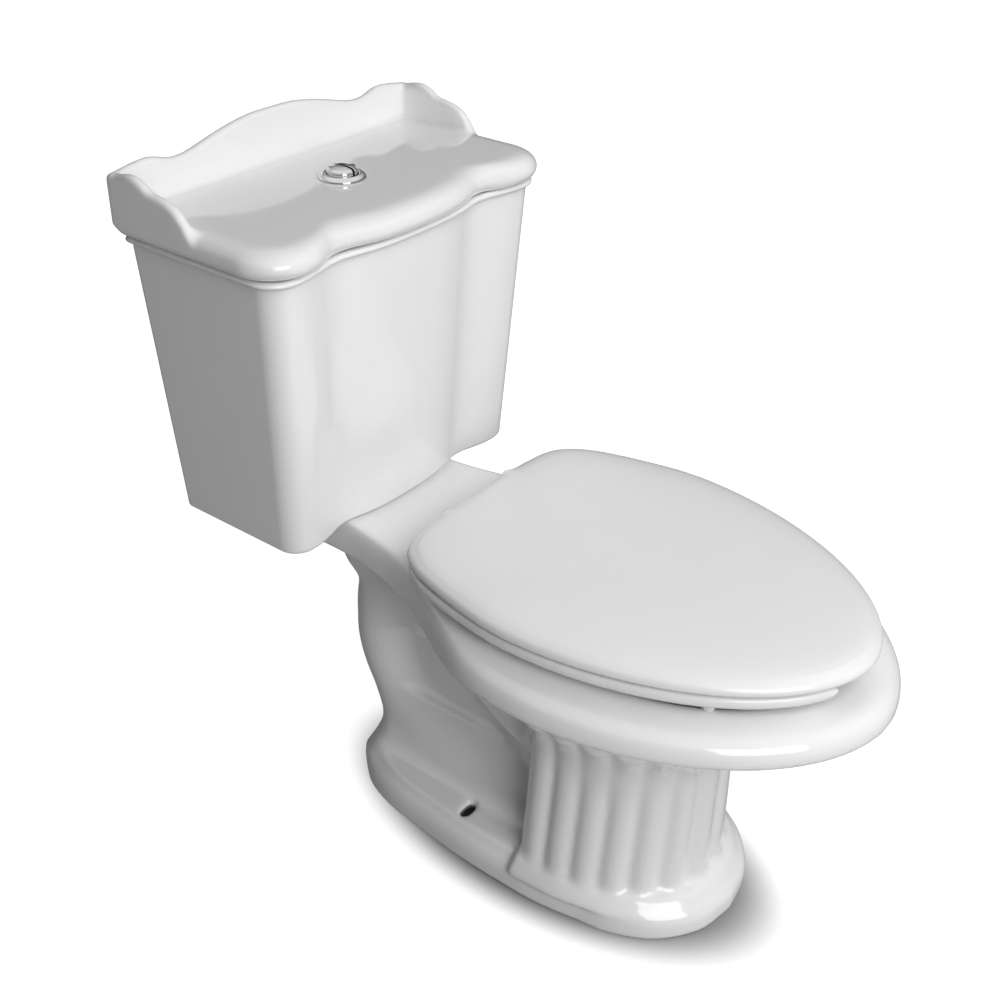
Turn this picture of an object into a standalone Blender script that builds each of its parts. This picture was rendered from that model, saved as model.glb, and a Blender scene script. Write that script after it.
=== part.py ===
"""Close-coupled two-piece toilet with a reeded pedestal and a galleried tank lid.

X is across the toilet, with X = 0 its plane of symmetry. The user sits facing -Y. Z is up from the floor.
Depths are counted forwards from the rear of the tank lid, which stands nearest the wall.
"""

import math

import bmesh
import bpy
from mathutils import Vector

# Overall sizes, in metres
OVERALL_DEPTH = 0.800
DECK_TOP = 0.376
CHINA_WALL = 0.010
FIT_GAP = 0.0003
OVERRUN = 0.020
CURVE_SEGMENTS = 24

# Rim and deck of the bowl
BAND_HEIGHT = 0.046
BAND_FLARE = 0.012
# Height share of the band against outward share of its flare
BAND_SHARES = (
    (0.00, -0.30),
    (0.08, 0.00),
    (0.40, 0.45),
    (0.72, 1.00),
    (0.86, 0.88),
    (0.96, 0.45),
    (1.00, -0.20),
)
RIM_HALF_WIDTH = 0.201
RIM_CENTRE = 0.509
DECK_REAR = 0.018
DECK_HALF_WIDTH = 0.092
DECK_CORNER = 0.020
DECK_POCKET_WIDTH = 0.028
DECK_POCKET_LENGTH = 0.080
DECK_POCKET_DEPTH = 0.030
RIM_POWER_SHARE = 1.88
# Depth from deck rear to rim centre against the growth from deck width to rim width
WAIST_SHARES = (
    (0.00, 0.000),
    (0.28, 0.000),
    (0.36, 0.020),
    (0.43, 0.075),
    (0.50, 0.150),
    (0.58, 0.290),
    (0.66, 0.480),
    (0.75, 0.710),
    (0.82, 0.865),
    (0.88, 0.945),
    (0.94, 0.985),
)

# Bowl below the band: depth down, half width, front reach and rear depth, as shares of the band's own sizes
UNDER_BAND_SHARES = (
    (-0.03, 0.885, 0.905, 0.64),
    (0.02, 0.88, 0.89, 0.65),
    (0.06, 0.82, 0.815, 0.662),
    (0.1, 0.745, 0.74, 0.675),
    (0.14, 0.675, 0.665, 0.69),
    (0.21, 0.64, 0.575, 0.72),
    (0.275, 0.6, 0.5, 0.745),
    (0.3, 0.53, 0.45, 0.757),
    (0.42, 0.5, 0.42, 0.77),
    (0.58, 0.43, 0.345, 0.79),
    (0.76, 0.35, 0.235, 0.825),
)
# Inner surface of the bowl, on the same shares
CAVITY_SHARES = (
    (-0.03, 0.76, 0.825, 0.72),
    (0.01, 0.75, 0.812, 0.731),
    (0.06, 0.7, 0.745, 0.738),
    (0.1, 0.635, 0.665, 0.744),
    (0.14, 0.572, 0.59, 0.75),
    (0.21, 0.51, 0.475, 0.76),
    (0.32, 0.465, 0.41, 0.776),
    (0.48, 0.4, 0.34, 0.81),
    (0.59, 0.335, 0.255, 0.845),
    (0.67, 0.25, 0.195, 0.894),
    (0.725, 0.17, 0.12, 0.933),
)
MOUTH_HALF_WIDTH = 0.142
MOUTH_FRONT = 0.732
MOUTH_REAR = 0.388
MOUTH_CENTRE = 0.545
MOUTH_LIP_DEPTH = 0.034
RIM_COVER = 0.012
RIM_LIP_WALL = 0.009
RIM_CHANNEL_LOW_WALL = 0.042
RIM_CHANNEL_HIGH_WALL = 0.014
RIM_CHANNEL_LEDGE = 0.012

# Water inlet in the deck
VALVE_DEPTH = 0.081
INLET_RADIUS = 0.032
GASKET_POCKET_RADIUS = 0.046
GASKET_POCKET_DEPTH = 0.008
INLET_CHANNEL_HALF_WIDTH = 0.044
INLET_CHANNEL_HEIGHT = 0.026
INLET_STEP = 0.0015

# Plinth
PLINTH_HEIGHT = 0.046
PLINTH_HALF_WIDTH = 0.134
PLINTH_FRONT = 0.669
PLINTH_REAR = 0.176
PLINTH_CENTRE = 0.440
PLINTH_REAR_HALF_WIDTH = 0.074
PLINTH_WALL = 0.014
PLINTH_ROOF = 0.012
# Height share against inward step share
PLINTH_SHARES = (
    (0.00, 0.20),
    (0.11, 0.00),
    (0.48, 0.00),
    (0.70, 0.30),
    (0.82, 0.62),
    (0.88, 0.88),
    (1.00, 1.00),
)
PLINTH_STEP = 0.016
FLANK_SHARES = (
    (0.00, 0.00),
    (0.07, 0.28),
    (0.16, 0.56),
    (0.32, 0.78),
    (0.55, 0.90),
    (0.80, 0.99),
    (1.00, 1.00),
)
FRONT_ROUND_SHARES = (
    (0.00, 1.000),
    (0.14, 0.998),
    (0.30, 0.970),
    (0.44, 0.925),
    (0.59, 0.880),
    (0.74, 0.770),
    (0.84, 0.640),
    (0.92, 0.470),
    (0.97, 0.300),
    (1.00, 0.000),
)
BOLT_SLOT_SPACING = 0.196
BOLT_SLOT_DEPTH = 0.364
BOLT_SLOT_WIDTH = 0.011
BOLT_SLOT_LENGTH = 0.027

# Reeded column
COLUMN_TOP = 0.232
COLUMN_HALF_WIDTH = 0.116
COLUMN_COVE = 0.012
COLUMN_CENTRE = 0.488
COLUMN_REACH = 0.150
COLUMN_BACK = 0.036
COLUMN_SPREAD_LOW = 1.02
COLUMN_SPREAD_HIGH = 0.92
REED_COUNT = 12
REED_HEIGHT = 0.0065
REED_STEPS = 4
REED_POWER_SHARE = 0.7
REED_FOOT = 0.010
# Share of the reeds' height up the column against share of the full groove
REED_SHARES = (
    (0.00, 0.00),
    (0.02, 0.55),
    (0.06, 0.92),
    (0.12, 1.00),
    (0.86, 1.00),
    (0.93, 0.90),
    (0.97, 0.50),
    (1.00, 0.00),
)
COLUMN_WALL = 0.016
COLUMN_HOLLOW_TOP = 0.182

# Trapway: depth and height of its centre line as shares of the outlet depth and of the crown height
OUTLET_DEPTH = 0.365
CROWN_HEIGHT = 0.272
TRAP_HALF_WIDTH = 0.060
TRAP_HALF_HEIGHT = 0.046
TRAP_BORE = 0.030
TRAP_SHARES = (
    (1.29, 0.55),
    (1.12, 0.59),
    (0.96, 0.72),
    (0.82, 0.89),
    (0.68, 0.985),
    (0.56, 0.955),
    (0.497, 0.85),
    (0.481, 0.725),
    (0.49, 0.61),
    (0.53, 0.48),
    (0.6, 0.375),
    (0.74, 0.29),
    (0.9, 0.215),
    (1.0, 0.1),
)
TRAP_SEGMENTS = 14
TRAP_STEPS = 2
OUTLET_CLEARANCE = 0.010
WEB_HALF_WIDTH = 0.034
WEB_REAR = 0.200
WEB_BOTTOM = 0.060
# Foot and neck: height, rear depth and half width as shares of deck top, outlet depth and trap half width
FOOT_SHARES = (
    (0.085, 0.49, 1.667),
    (0.125, 0.5, 1.433),
    (0.165, 0.505, 1.2),
    (0.215, 0.496, 1.03),
    (0.27, 0.484, 0.92),
    (0.33, 0.48, 0.83),
)
NECK_SHARES = (
    (0.585, 0.405, 0.82),
    (0.64, 0.4, 0.88),
    (0.697, 0.392, 0.9),
    (0.755, 0.335, 0.92),
    (0.82, 0.319, 0.94),
    (0.89, 0.31, 0.95),
)
FOOT_CORNER = 0.034
FOOT_WALL = 0.013
NECK_CORNER = 0.030
BODY_FRONT = 0.455

# Tank
TANK_HEIGHT = 0.3314
TANK_TOP_HALF_WIDTH = 0.205
TANK_BOTTOM_HALF_WIDTH = 0.186
TANK_TOP_FRONT = 0.214
TANK_BOTTOM_FRONT = 0.197
TANK_TOP_REAR = 0.007
TANK_BOTTOM_REAR = 0.021
TANK_CORNER = 0.032
TANK_REAR_CORNER = 0.006
TANK_WALL = 0.010
TANK_FLOOR = 0.013
TANK_EDGE = 0.012
LIP_REACH = 0.006
LIP_HEIGHT = 0.011
FRONT_DIP = 0.015
# Share of half width against share of the front's dip
SERPENTINE_SHARES = (
    (0.000, -0.12),
    (0.150, -0.04),
    (0.270, 0.20),
    (0.370, 0.58),
    (0.440, 0.90),
    (0.510, 1.00),
    (0.575, 0.90),
    (0.640, 0.48),
    (0.710, 0.12),
    (0.780, 0.00),
)

# Tank lid
LID_HALF_WIDTH = 0.211
LID_FRONT = 0.218
LID_CORNER = 0.040
LID_HEIGHT = 0.030
BULLNOSE = 0.011
LID_ROOF = 0.012
LID_REAR = 0.011
LID_REAR_CORNER = 0.009
LID_RIB_HEIGHT = 0.008
LID_RIB_WALL = 0.006
LID_RIB_GAP = 0.003
# Height share of the lid's edge against outward share of the bullnose
BULLNOSE_SHARES = (
    (0.000, 0.00),
    (0.060, 0.34),
    (0.200, 0.74),
    (0.400, 1.00),
    (0.620, 0.94),
    (0.830, 0.48),
    (0.970, -0.25),
    (1.060, -0.80),
    (1.000, -1.45),
)
GALLERY_WALL = 0.013
GALLERY_HEIGHT = 0.055
GALLERY_LENGTH = 0.117
GALLERY_SINK = 0.016
GALLERY_CORNER = 0.015
# Across the wall and down from its top, as shares of the wall's thickness
GALLERY_ROUND_SHARES = ((0.00, 0.45), (0.12, 0.16), (0.50, 0.00), (0.88, 0.16), (1.00, 0.45))
GALLERY_BACK_SHARES = (
    (0.000, 1.000),
    (0.130, 0.990),
    (0.260, 0.920),
    (0.380, 0.815),
    (0.480, 0.710),
    (0.560, 0.640),
    (0.625, 0.625),
    (0.680, 0.665),
    (0.745, 0.755),
    (0.815, 0.800),
    (0.890, 0.765),
)
GALLERY_WING_SHARES = (
    (0.140, 0.720),
    (0.260, 0.775),
    (0.370, 0.745),
    (0.460, 0.640),
    (0.530, 0.535),
    (0.640, 0.505),
    (0.750, 0.455),
    (0.840, 0.365),
    (0.915, 0.215),
    (0.970, 0.050),
    (1.000, -0.120),
)

# Flush button in the lid
BUTTON_DEPTH = 0.110
BEZEL_RADIUS = 0.026
BEZEL_HEIGHT = 0.0045
BEZEL_BARREL_RADIUS = 0.0195
BEZEL_BORE = 0.0175
BEZEL_LENGTH = 0.034
BEZEL_FLOOR = 0.002
BEZEL_HOLE_CLEARANCE = 0.0012
BEZEL_NUT_RADIUS = 0.030
BEZEL_NUT_HEIGHT = 0.007
BUTTON_CLEARANCE = 0.0006
BUTTON_SPLIT = 0.003
BUTTON_HEIGHT = 0.009
BUTTON_TRAVEL = 0.006
BUTTON_PROUD = BUTTON_TRAVEL + 0.0015
BUTTON_CROWN = 0.002
ROD_RADIUS = 0.0028
ROD_OFFSET = 0.0095
ROD_FORWARD = 0.006
ROD_HOLE_CLEARANCE = 0.0007
SPRING_RADIUS = 0.0048
SPRING_WIRE = 0.0007
SPRING_TURNS = 4
SPRING_STEPS = 10
SPRING_SIDES = 5

# Flush valve
VALVE_TAIL_RADIUS = 0.0290
VALVE_BORE = 0.0240
VALVE_TAIL_LENGTH = 0.034
VALVE_FLANGE_RADIUS = 0.041
VALVE_FLANGE = 0.005
VALVE_WASHER = 0.003
VALVE_NUT_RADIUS = 0.040
VALVE_NUT_HEIGHT = 0.006
VALVE_SEAT_RADIUS = 0.030
VALVE_SEAT_HEIGHT = 0.003
POST_RADIUS = 0.0032
POST_OFFSET = 0.0385
BRIDGE_HEIGHT = 0.196
BRIDGE_THICKNESS = 0.005
BRIDGE_FRONT = 0.060
BRIDGE_REAR = 0.018
STEM_RADIUS = 0.0105
STEM_WALL = 0.0018
STEM_CLEARANCE = 0.0007
STEM_TOP = 0.252
PLUG_RADIUS = 0.033
PLUG_HEIGHT = 0.012
SEAL_THICKNESS = 0.004
SEAL_RADIUS = 0.0345
COLLAR_RADIUS = 0.018
COLLAR_HEIGHT = 0.004
COLLAR_GAP = 0.0012
ROCKER_PUSH_ARM = 0.012
ROCKER_THICKNESS = 0.005
ROCKER_RISE = 0.015
ROCKER_HALF_WIDTH = 0.0175
ROCKER_PIN_RADIUS = 0.0018
ROCKER_PIN_CLEARANCE = 0.0003
EAR_THICKNESS = 0.004
EAR_RADIUS = 0.0055
PAD_RADIUS = 0.0055
HALF_FLOAT_RADIUS = 0.009
HALF_FLOAT_HEIGHT = 0.045
HALF_FLOAT_DROP = 0.030
HALF_PAD_HEIGHT = 0.004

# Fill valve
FILL_OFFSET = 0.128
FILL_DEPTH = 0.092
SHANK_RADIUS = 0.0105
SHANK_LENGTH = 0.036
SHANK_BORE = 0.005
SHANK_HOLE_CLEARANCE = 0.003
FILL_NUT_RADIUS = 0.019
FILL_NUT_HEIGHT = 0.008
FILL_WASHER_RADIUS = 0.020
FILL_WASHER = 0.003
RISER_RADIUS = 0.014
RISER_TOP = 0.262
FILL_CAP_RADIUS = 0.022
FILL_CAP_HEIGHT = 0.016
FLOAT_STOP_RADIUS = 0.019
FLOAT_STOP_HEIGHT = 0.004
FLOAT_RADIUS = 0.035
FLOAT_BORE_CLEARANCE = 0.0012
FLOAT_HEIGHT = 0.060
FLOAT_LOW = 0.168
FLOAT_WALL = 0.003
FLOAT_ROD_OFFSET = 0.029
FLOAT_ROD_RADIUS = 0.0016
FLOAT_ARM_RISE = 0.006
FLOAT_ARM_THICKNESS = 0.003
FLOAT_ARM_HALF_WIDTH = 0.004
FLOAT_ARM_TIP = 0.004
FLOAT_PIVOT_OFFSET = 0.008
NIPPLE_RADIUS = 0.0024
NIPPLE_LENGTH = 0.009
HOSE_RADIUS = 0.0042
HOSE_BORE_CLEARANCE = 0.0004
HOSE_RISE = 0.015

# Tank bolts
TANK_BOLT_SPACING = 0.140
TANK_BOLT_DEPTH = 0.100
TANK_BOLT_RADIUS = 0.004
TANK_BOLT_HEAD_RADIUS = 0.009
TANK_BOLT_HEAD = 0.004
TANK_BOLT_CLEARANCE = 0.0025
TANK_BOLT_TAIL = 0.026
TANK_WASHER_RADIUS = 0.014
TANK_WASHER = 0.003
TANK_NUT_RADIUS = 0.009
TANK_NUT_HEIGHT = 0.007

# Seat, cover and hinge
SEAT_GAP = 0.006
SEAT_THICKNESS = 0.021
COVER_GAP = 0.0035
COVER_EDGE = 0.014
COVER_CROWN = 0.007
COVER_WALL = 0.004
COVER_HALF_WIDTH = 0.187
COVER_CENTRE = 0.475
COVER_FRONT = 0.775
COVER_REAR = 0.294
COVER_POWER_SHARE = 1.88
# Height share of the cover against size share of its outline
COVER_SHARES = (
    (0.00, 0.992),
    (0.14, 1.000),
    (0.36, 0.997),
    (0.56, 0.982),
    (0.74, 0.950),
    (0.88, 0.860),
    (0.97, 0.650),
    (1.00, 0.350),
)
# Depth from cover centre back to cover rear against half width
COVER_BACK_SHARES = (
    (0.00, 1.000),
    (0.18, 0.995),
    (0.48, 0.957),
    (0.74, 0.900),
    (0.885, 0.835),
    (0.950, 0.765),
    (0.985, 0.690),
    (1.000, 0.590),
)
SEAT_INSET = 0.004
SEAT_TAPER = 0.009
SEAT_RING_WIDTH = 0.076
SEAT_GAP_HALF_WIDTH = 0.036
SEAT_NOTCH_DEPTH = 0.028
SEAT_NOTCH_HALF_WIDTH = 0.100
SEAT_OPENING_REAR = 0.412
HINGE_SPACING = 0.140
HINGE_DEPTH = 0.300
HINGE_RISE = 0.0205
HINGE_RADIUS = 0.0095
HINGE_POST_WIDTH = 0.020
HINGE_LUG_WIDTH = 0.011
LUG_GRIP = 0.012
LUG_ARM_SHARE = 0.6
COVER_LUG_DROP = 0.0015
HINGE_SIDE_GAP = 0.0006
HINGE_PIN_RADIUS = 0.0035
HINGE_PIN_CLEARANCE = 0.0003
HINGE_BASE_RADIUS = 0.0135
HINGE_BASE_HEIGHT = 0.004
HINGE_BOLT_RADIUS = 0.0045
HINGE_BOLT_CLEARANCE = 0.0020
HINGE_BOLT_TAIL = 0.022
HINGE_NUT_RADIUS = 0.0105
HINGE_NUT_HEIGHT = 0.010
BUMPER_RADIUS = 0.007
FRONT_BUMPER_SPOT = (0.114, 0.665)
REAR_BUMPER_SPOT = (0.160, 0.445)
COVER_BUMPER_SPOT = (0.128, 0.600)

# Worked-out levels and places
BACK_Y = OVERALL_DEPTH / 2
BAND_BOTTOM = DECK_TOP - BAND_HEIGHT
RIM_FRONT = OVERALL_DEPTH - BAND_FLARE
TANK_BASE = DECK_TOP + FIT_GAP
TANK_TOP = TANK_BASE + TANK_HEIGHT
TANK_INSIDE = TANK_BASE + TANK_FLOOR
LID_BASE = TANK_TOP + FIT_GAP
TRAY_TOP = LID_BASE + LID_HEIGHT
SEAT_BASE = DECK_TOP + SEAT_GAP
SEAT_TOP = SEAT_BASE + SEAT_THICKNESS
COVER_BASE = SEAT_TOP + COVER_GAP
HINGE_HEIGHT = DECK_TOP + HINGE_RISE
VALVE_FLOOR = TANK_INSIDE + FIT_GAP + VALVE_WASHER + FIT_GAP
ROD_DEPTH = BUTTON_DEPTH + ROD_FORWARD
ROCKER_PIVOT = ROD_DEPTH - ROCKER_PUSH_ARM
HALF_PAD_TOP = ROCKER_RISE + ROCKER_THICKNESS / 2


# Outlines in plan, as lists of (across, depth)

def smooth(points, steps):
    """Points along a Catmull-Rom curve through the given points."""
    out = []
    for i in range(len(points) - 1):
        ends = [points[max(i - 1, 0)], points[i], points[i + 1], points[min(i + 2, len(points) - 1)]]
        for k in range(steps):
            t = k / steps
            out.append(tuple(
                0.5 * (
                    2 * b + (c - a) * t
                    + (2 * a - 5 * b + 4 * c - d) * t ** 2
                    + (3 * b - a - 3 * c + d) * t ** 3
                )
                for a, b, c, d in zip(*ends)
            ))
    return out + [points[-1]]


def mirrored(half):
    """A closed outline from its half at +X, which runs from the front point to the rear point."""
    inner = [(-x, u) for x, u in reversed(half) if x > FIT_GAP]
    return list(half) + inner


def arc(centre, radius, start, end, steps):
    """Points of an arc in plan, with angles from +X towards greater depth."""
    return [
        (centre[0] + radius * math.cos(start + (end - start) * i / steps),
         centre[1] + radius * math.sin(start + (end - start) * i / steps))
        for i in range(steps + 1)
    ]


def half_egg(half_width, centre, tip, power, steps):
    """From the tip on the axis to full width at the centre, without that last point."""
    out = []
    for i in range(steps):
        t = math.pi / 2 * i / steps
        across = math.sin(t) ** (2 / power)
        along = math.cos(t) ** (2 / power)
        out.append((half_width * across, centre + (tip - centre) * along))
    return out


def egg(half_width, front, rear, centre, steps=10):
    """An egg-shaped outline."""
    power = 2
    front_half = half_egg(half_width, centre, front, power, steps)
    rear_half = [(half_width, centre)] + half_egg(half_width, centre, rear, power, steps)[::-1]
    return mirrored(front_half + rear_half)


def offset(outline, distance):
    """The outline moved outwards by a distance, or inwards by a negative one."""
    count = len(outline)
    area = sum(
        outline[i][0] * outline[(i + 1) % count][1] - outline[(i + 1) % count][0] * outline[i][1]
        for i in range(count)
    )
    turn = 1 if area > 0 else -1
    out = []
    for i in range(count):
        before = Vector(outline[i]) - Vector(outline[i - 1])
        after = Vector(outline[(i + 1) % count]) - Vector(outline[i])
        along = before.normalized() + after.normalized()
        normal = Vector((along.y, -along.x)).normalized() * turn
        out.append((outline[i][0] + normal.x * distance, outline[i][1] + normal.y * distance))
    return out


def rim_outline(flare):
    """Plan of the band round rim and deck, grown by the flare at the rim and by half of it at the deck."""
    half_width = RIM_HALF_WIDTH + flare
    deck = DECK_HALF_WIDTH + flare / 2
    front = half_egg(half_width, RIM_CENTRE, RIM_FRONT + flare, RIM_POWER_SHARE, 11)
    reach = RIM_CENTRE - DECK_REAR
    side = [(deck + (half_width - deck) * w, DECK_REAR + reach * s) for s, w in WAIST_SHARES[1:]]
    side = [(half_width, RIM_CENTRE)] + side[::-1]
    corner = arc((deck - DECK_CORNER, DECK_REAR + DECK_CORNER), DECK_CORNER, 0, -math.pi / 2, 3)
    return mirrored(front + side + corner + [(0, DECK_REAR)])


def serpentine(half_width, front, rear, corner, rear_corner, grown=0.0):
    """Outline of tank and lid, grown all round: a bowed front between two lobes, and a flat back."""
    half_width += grown
    front += grown
    rear -= grown
    corner += grown
    rear_corner = max(rear_corner + grown, rear_corner / 4)
    wave = [(half_width * x, front - FRONT_DIP * dip) for x, dip in SERPENTINE_SHARES]
    front_arc = arc((half_width - corner, front - corner), corner, math.pi / 2, 0, 5)
    rear_arc = arc((half_width - rear_corner, rear + rear_corner), rear_corner, 0, -math.pi / 2, 3)
    return mirrored(wave + front_arc + rear_arc + [(0, rear)])


def plinth_outline():
    """Plan of the plinth: a narrow back that spreads to its widest, then a rounded front."""
    front = [
        (PLINTH_HALF_WIDTH * w, PLINTH_CENTRE + (PLINTH_FRONT - PLINTH_CENTRE) * s)
        for s, w in FRONT_ROUND_SHARES[::-1]
    ]
    spread = PLINTH_HALF_WIDTH - PLINTH_REAR_HALF_WIDTH
    flank = [
        (PLINTH_REAR_HALF_WIDTH + spread * w, PLINTH_REAR + (PLINTH_CENTRE - PLINTH_REAR) * s)
        for s, w in FLANK_SHARES[::-1]
    ]
    half = smooth(front, 2)[:-1] + flank
    return mirrored(half + [(0, PLINTH_REAR)])


def reed_swell(groove, share):
    """How far a reed stands out, at a share of its width, where grooves have their full depth at 1."""
    return REED_HEIGHT * (1 - groove * (1 - abs(math.sin(math.pi * share)) ** REED_POWER_SHARE))


def column_outline(grown, groove, spread):
    """Plan of the reeded column: the flat rear, a reed on each flank and the reeds round the front."""
    steps = REED_COUNT * REED_STEPS // 2
    half = []
    for i in range(steps + 1):
        t = math.pi / 2 * i / steps
        bulge = grown + reed_swell(groove, i / REED_STEPS)
        across = (COLUMN_HALF_WIDTH * spread + bulge) * math.sin(t)
        half.append((across, COLUMN_CENTRE + (COLUMN_REACH + bulge) * math.cos(t)))
    for i in range(1, REED_STEPS + 1):
        across = COLUMN_HALF_WIDTH * spread + grown + reed_swell(groove, i / REED_STEPS)
        half.append((across, COLUMN_CENTRE - COLUMN_BACK * i / REED_STEPS))
    half.append((0, COLUMN_CENTRE - COLUMN_BACK))
    return mirrored(half)


def rounded_block(rear, front, half_width, corner):
    """Plan of a block with rounded rear corners and a square front inside the column."""
    back = arc((half_width - corner, rear + corner), corner, 0, -math.pi / 2, 4)
    return mirrored([(0, front), (half_width, front)] + back + [(0, rear)])


# Mesh makers

def place(across, depth, height):
    """World place of a point given across, in depth from the lid's rear, and in height."""
    return Vector((across, BACK_Y - depth, height))


def material(name, colour, roughness, metallic=0.0):
    """A named surface."""
    made = bpy.data.materials.new(name)
    made.use_nodes = True
    shader = made.node_tree.nodes["Principled BSDF"]
    shader.inputs["Base Color"].default_value = (*colour, 1.0)
    shader.inputs["Roughness"].default_value = roughness
    shader.inputs["Metallic"].default_value = metallic
    made.diffuse_color = (*colour, 1.0)
    return made


def finish(name, mesh_data, surface):
    """Turns bmesh data into a named object with outward faces."""
    bmesh.ops.recalc_face_normals(mesh_data, faces=mesh_data.faces)
    mesh = bpy.data.meshes.new(name)
    mesh_data.to_mesh(mesh)
    mesh_data.free()
    if surface:
        mesh.materials.append(surface)
    mesh.shade_smooth()
    mesh.set_sharp_from_angle(angle=math.radians(35))
    made = bpy.data.objects.new(name, mesh)
    bpy.context.scene.collection.objects.link(made)
    return made


def loft(name, rings, surface=None, closed=False):
    """A skin through rings of equally many points, capped at both ends or joined end to end."""
    shape = bmesh.new()
    loops = [[shape.verts.new(point) for point in ring] for ring in rings]
    pairs = list(zip(loops, loops[1:]))
    if closed:
        pairs.append((loops[-1], loops[0]))
    for lower, upper in pairs:
        for i in range(len(lower)):
            j = (i + 1) % len(lower)
            shape.faces.new((lower[i], lower[j], upper[j], upper[i]))
    if not closed:
        shape.faces.new(loops[0])
        shape.faces.new(loops[-1])
    return finish(name, shape, surface)


def level(outline, height):
    """A ring of world points from a plan outline."""
    return [place(x, u, height) for x, u in outline]


def prism(name, outline, bottom, top, surface=None):
    """A plan outline extruded upwards."""
    shape = bmesh.new()
    base = shape.faces.new([shape.verts.new(point) for point in level(outline, bottom)])
    grown = bmesh.ops.extrude_face_region(shape, geom=[base])
    moved = [item for item in grown["geom"] if isinstance(item, bmesh.types.BMVert)]
    bmesh.ops.translate(shape, verts=moved, vec=(0, 0, top - bottom))
    return finish(name, shape, surface)


def side_prism(name, outline, left, right, surface=None):
    """An outline of (depth, height) points extruded across."""
    shape = bmesh.new()
    base = shape.faces.new([shape.verts.new(place(left, u, z)) for u, z in outline])
    grown = bmesh.ops.extrude_face_region(shape, geom=[base])
    moved = [item for item in grown["geom"] if isinstance(item, bmesh.types.BMVert)]
    bmesh.ops.translate(shape, verts=moved, vec=(right - left, 0, 0))
    return finish(name, shape, surface)


def turned(name, profile, centre, surface=None, segments=CURVE_SEGMENTS, along="Z"):
    """A closed profile of (radius, distance) points spun about an axis through the centre."""
    shape = bmesh.new()
    points = []
    for radius, distance in profile:
        if along == "Z":
            points.append(centre + Vector((radius, 0, distance)))
        else:
            points.append(centre + Vector((distance, radius, 0)))
    verts = [shape.verts.new(point) for point in points]
    edges = [shape.edges.new((verts[i], verts[(i + 1) % len(verts)])) for i in range(len(verts))
             if profile[i][0] > 0 or profile[(i + 1) % len(verts)][0] > 0]
    axis = (0, 0, 1) if along == "Z" else (1, 0, 0)
    bmesh.ops.spin(shape, geom=verts + edges, cent=centre, axis=axis, dvec=(0, 0, 0),
                   angle=math.tau, steps=segments, use_merge=True)
    bmesh.ops.remove_doubles(shape, verts=shape.verts, dist=1e-6)
    return finish(name, shape, surface)


def rod(name, centre, radius, bottom, top, surface=None, segments=CURVE_SEGMENTS, along="Z"):
    """A plain round bar between two distances along its axis."""
    profile = [(0, bottom), (radius, bottom), (radius, top), (0, top)]
    return turned(name, profile, centre, surface, segments, along)


def tube(name, centre, outer, inner, bottom, top, surface=None, segments=CURVE_SEGMENTS, along="Z"):
    """A round bar with a bore whose flats clear the inner radius."""
    bore = inner / math.cos(math.pi / segments)
    profile = [(bore, bottom), (outer, bottom), (outer, top), (bore, top)]
    return turned(name, profile, centre, surface, segments, along)


def combine(target, tool, operation):
    """Joins a helper shape to the target or cuts it away."""
    tool.hide_render = True
    tool.display_type = "WIRE"
    step = target.modifiers.new(f"{operation.lower()}_{tool.name}", "BOOLEAN")
    step.operation = operation
    step.solver = "EXACT"
    step.object = tool
    return target


def add(target, *tools):
    """Joins helper shapes to the target."""
    for tool in tools:
        combine(target, tool, "UNION")
    return target


def cut(target, *tools):
    """Cuts helper shapes out of the target."""
    for tool in tools:
        combine(target, tool, "DIFFERENCE")
    return target


def set_origin(target, point):
    """Moves an object's origin without moving its shape."""
    target.data.transform(target.matrix_basis.copy())
    for vertex in target.data.vertices:
        vertex.co -= point
    target.location = point
    return target


def blend(low, high, share):
    """A value part of the way from low to high."""
    return low + (high - low) * share


def swept(name, path, radius, bore, surface=None, segments=10):
    """A hose along world points, with a bore from end to end."""
    outer = []
    inner = []
    side = None
    for i in range(len(path)):
        ahead = (path[min(i + 1, len(path) - 1)] - path[max(i - 1, 0)]).normalized()
        side = ahead.orthogonal() if side is None else side - ahead * side.dot(ahead)
        side.normalize()
        across = ahead.cross(side)
        spokes = [
            side * math.cos(math.tau * k / segments) + across * math.sin(math.tau * k / segments)
            for k in range(segments)
        ]
        outer.append([path[i] + spoke * radius for spoke in spokes])
        inner.append([path[i] + spoke * bore for spoke in spokes])
    return loft(name, outer + inner[::-1], surface, closed=True)


# Bowl

def bowl_rings(shares):
    """Rings of the bowl's outer or inner surface, from the band down."""
    rings = []
    for down, width, reach, back in shares:
        outline = egg(
            RIM_HALF_WIDTH * width,
            RIM_CENTRE + (RIM_FRONT - RIM_CENTRE) * reach,
            RIM_CENTRE * back,
            RIM_CENTRE,
        )
        rings.append(level(outline, BAND_BOTTOM * (1 - down)))
    return rings


def trap_rings(half_width, half_height, path):
    """Rings round the trapway's centre line, square to it."""
    rings = []
    for i in range(len(path)):
        before = Vector(path[max(i - 1, 0)])
        after = Vector(path[min(i + 1, len(path) - 1)])
        ahead = (after - before).normalized()
        normal = Vector((-ahead.y, ahead.x))
        ring = []
        for k in range(TRAP_SEGMENTS):
            t = math.tau * k / TRAP_SEGMENTS
            point = Vector(path[i]) + normal * half_height * math.sin(t)
            ring.append(place(half_width * math.cos(t), point.x, point.y))
        rings.append(ring)
    return rings


def body_rings(shares, corner):
    """Rings of the foot or the neck that carry the trapway."""
    return [
        level(
            rounded_block(OUTLET_DEPTH * rear, BODY_FRONT, TRAP_HALF_WIDTH * width, corner),
            DECK_TOP * height,
        )
        for height, rear, width in shares
    ]


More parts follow.
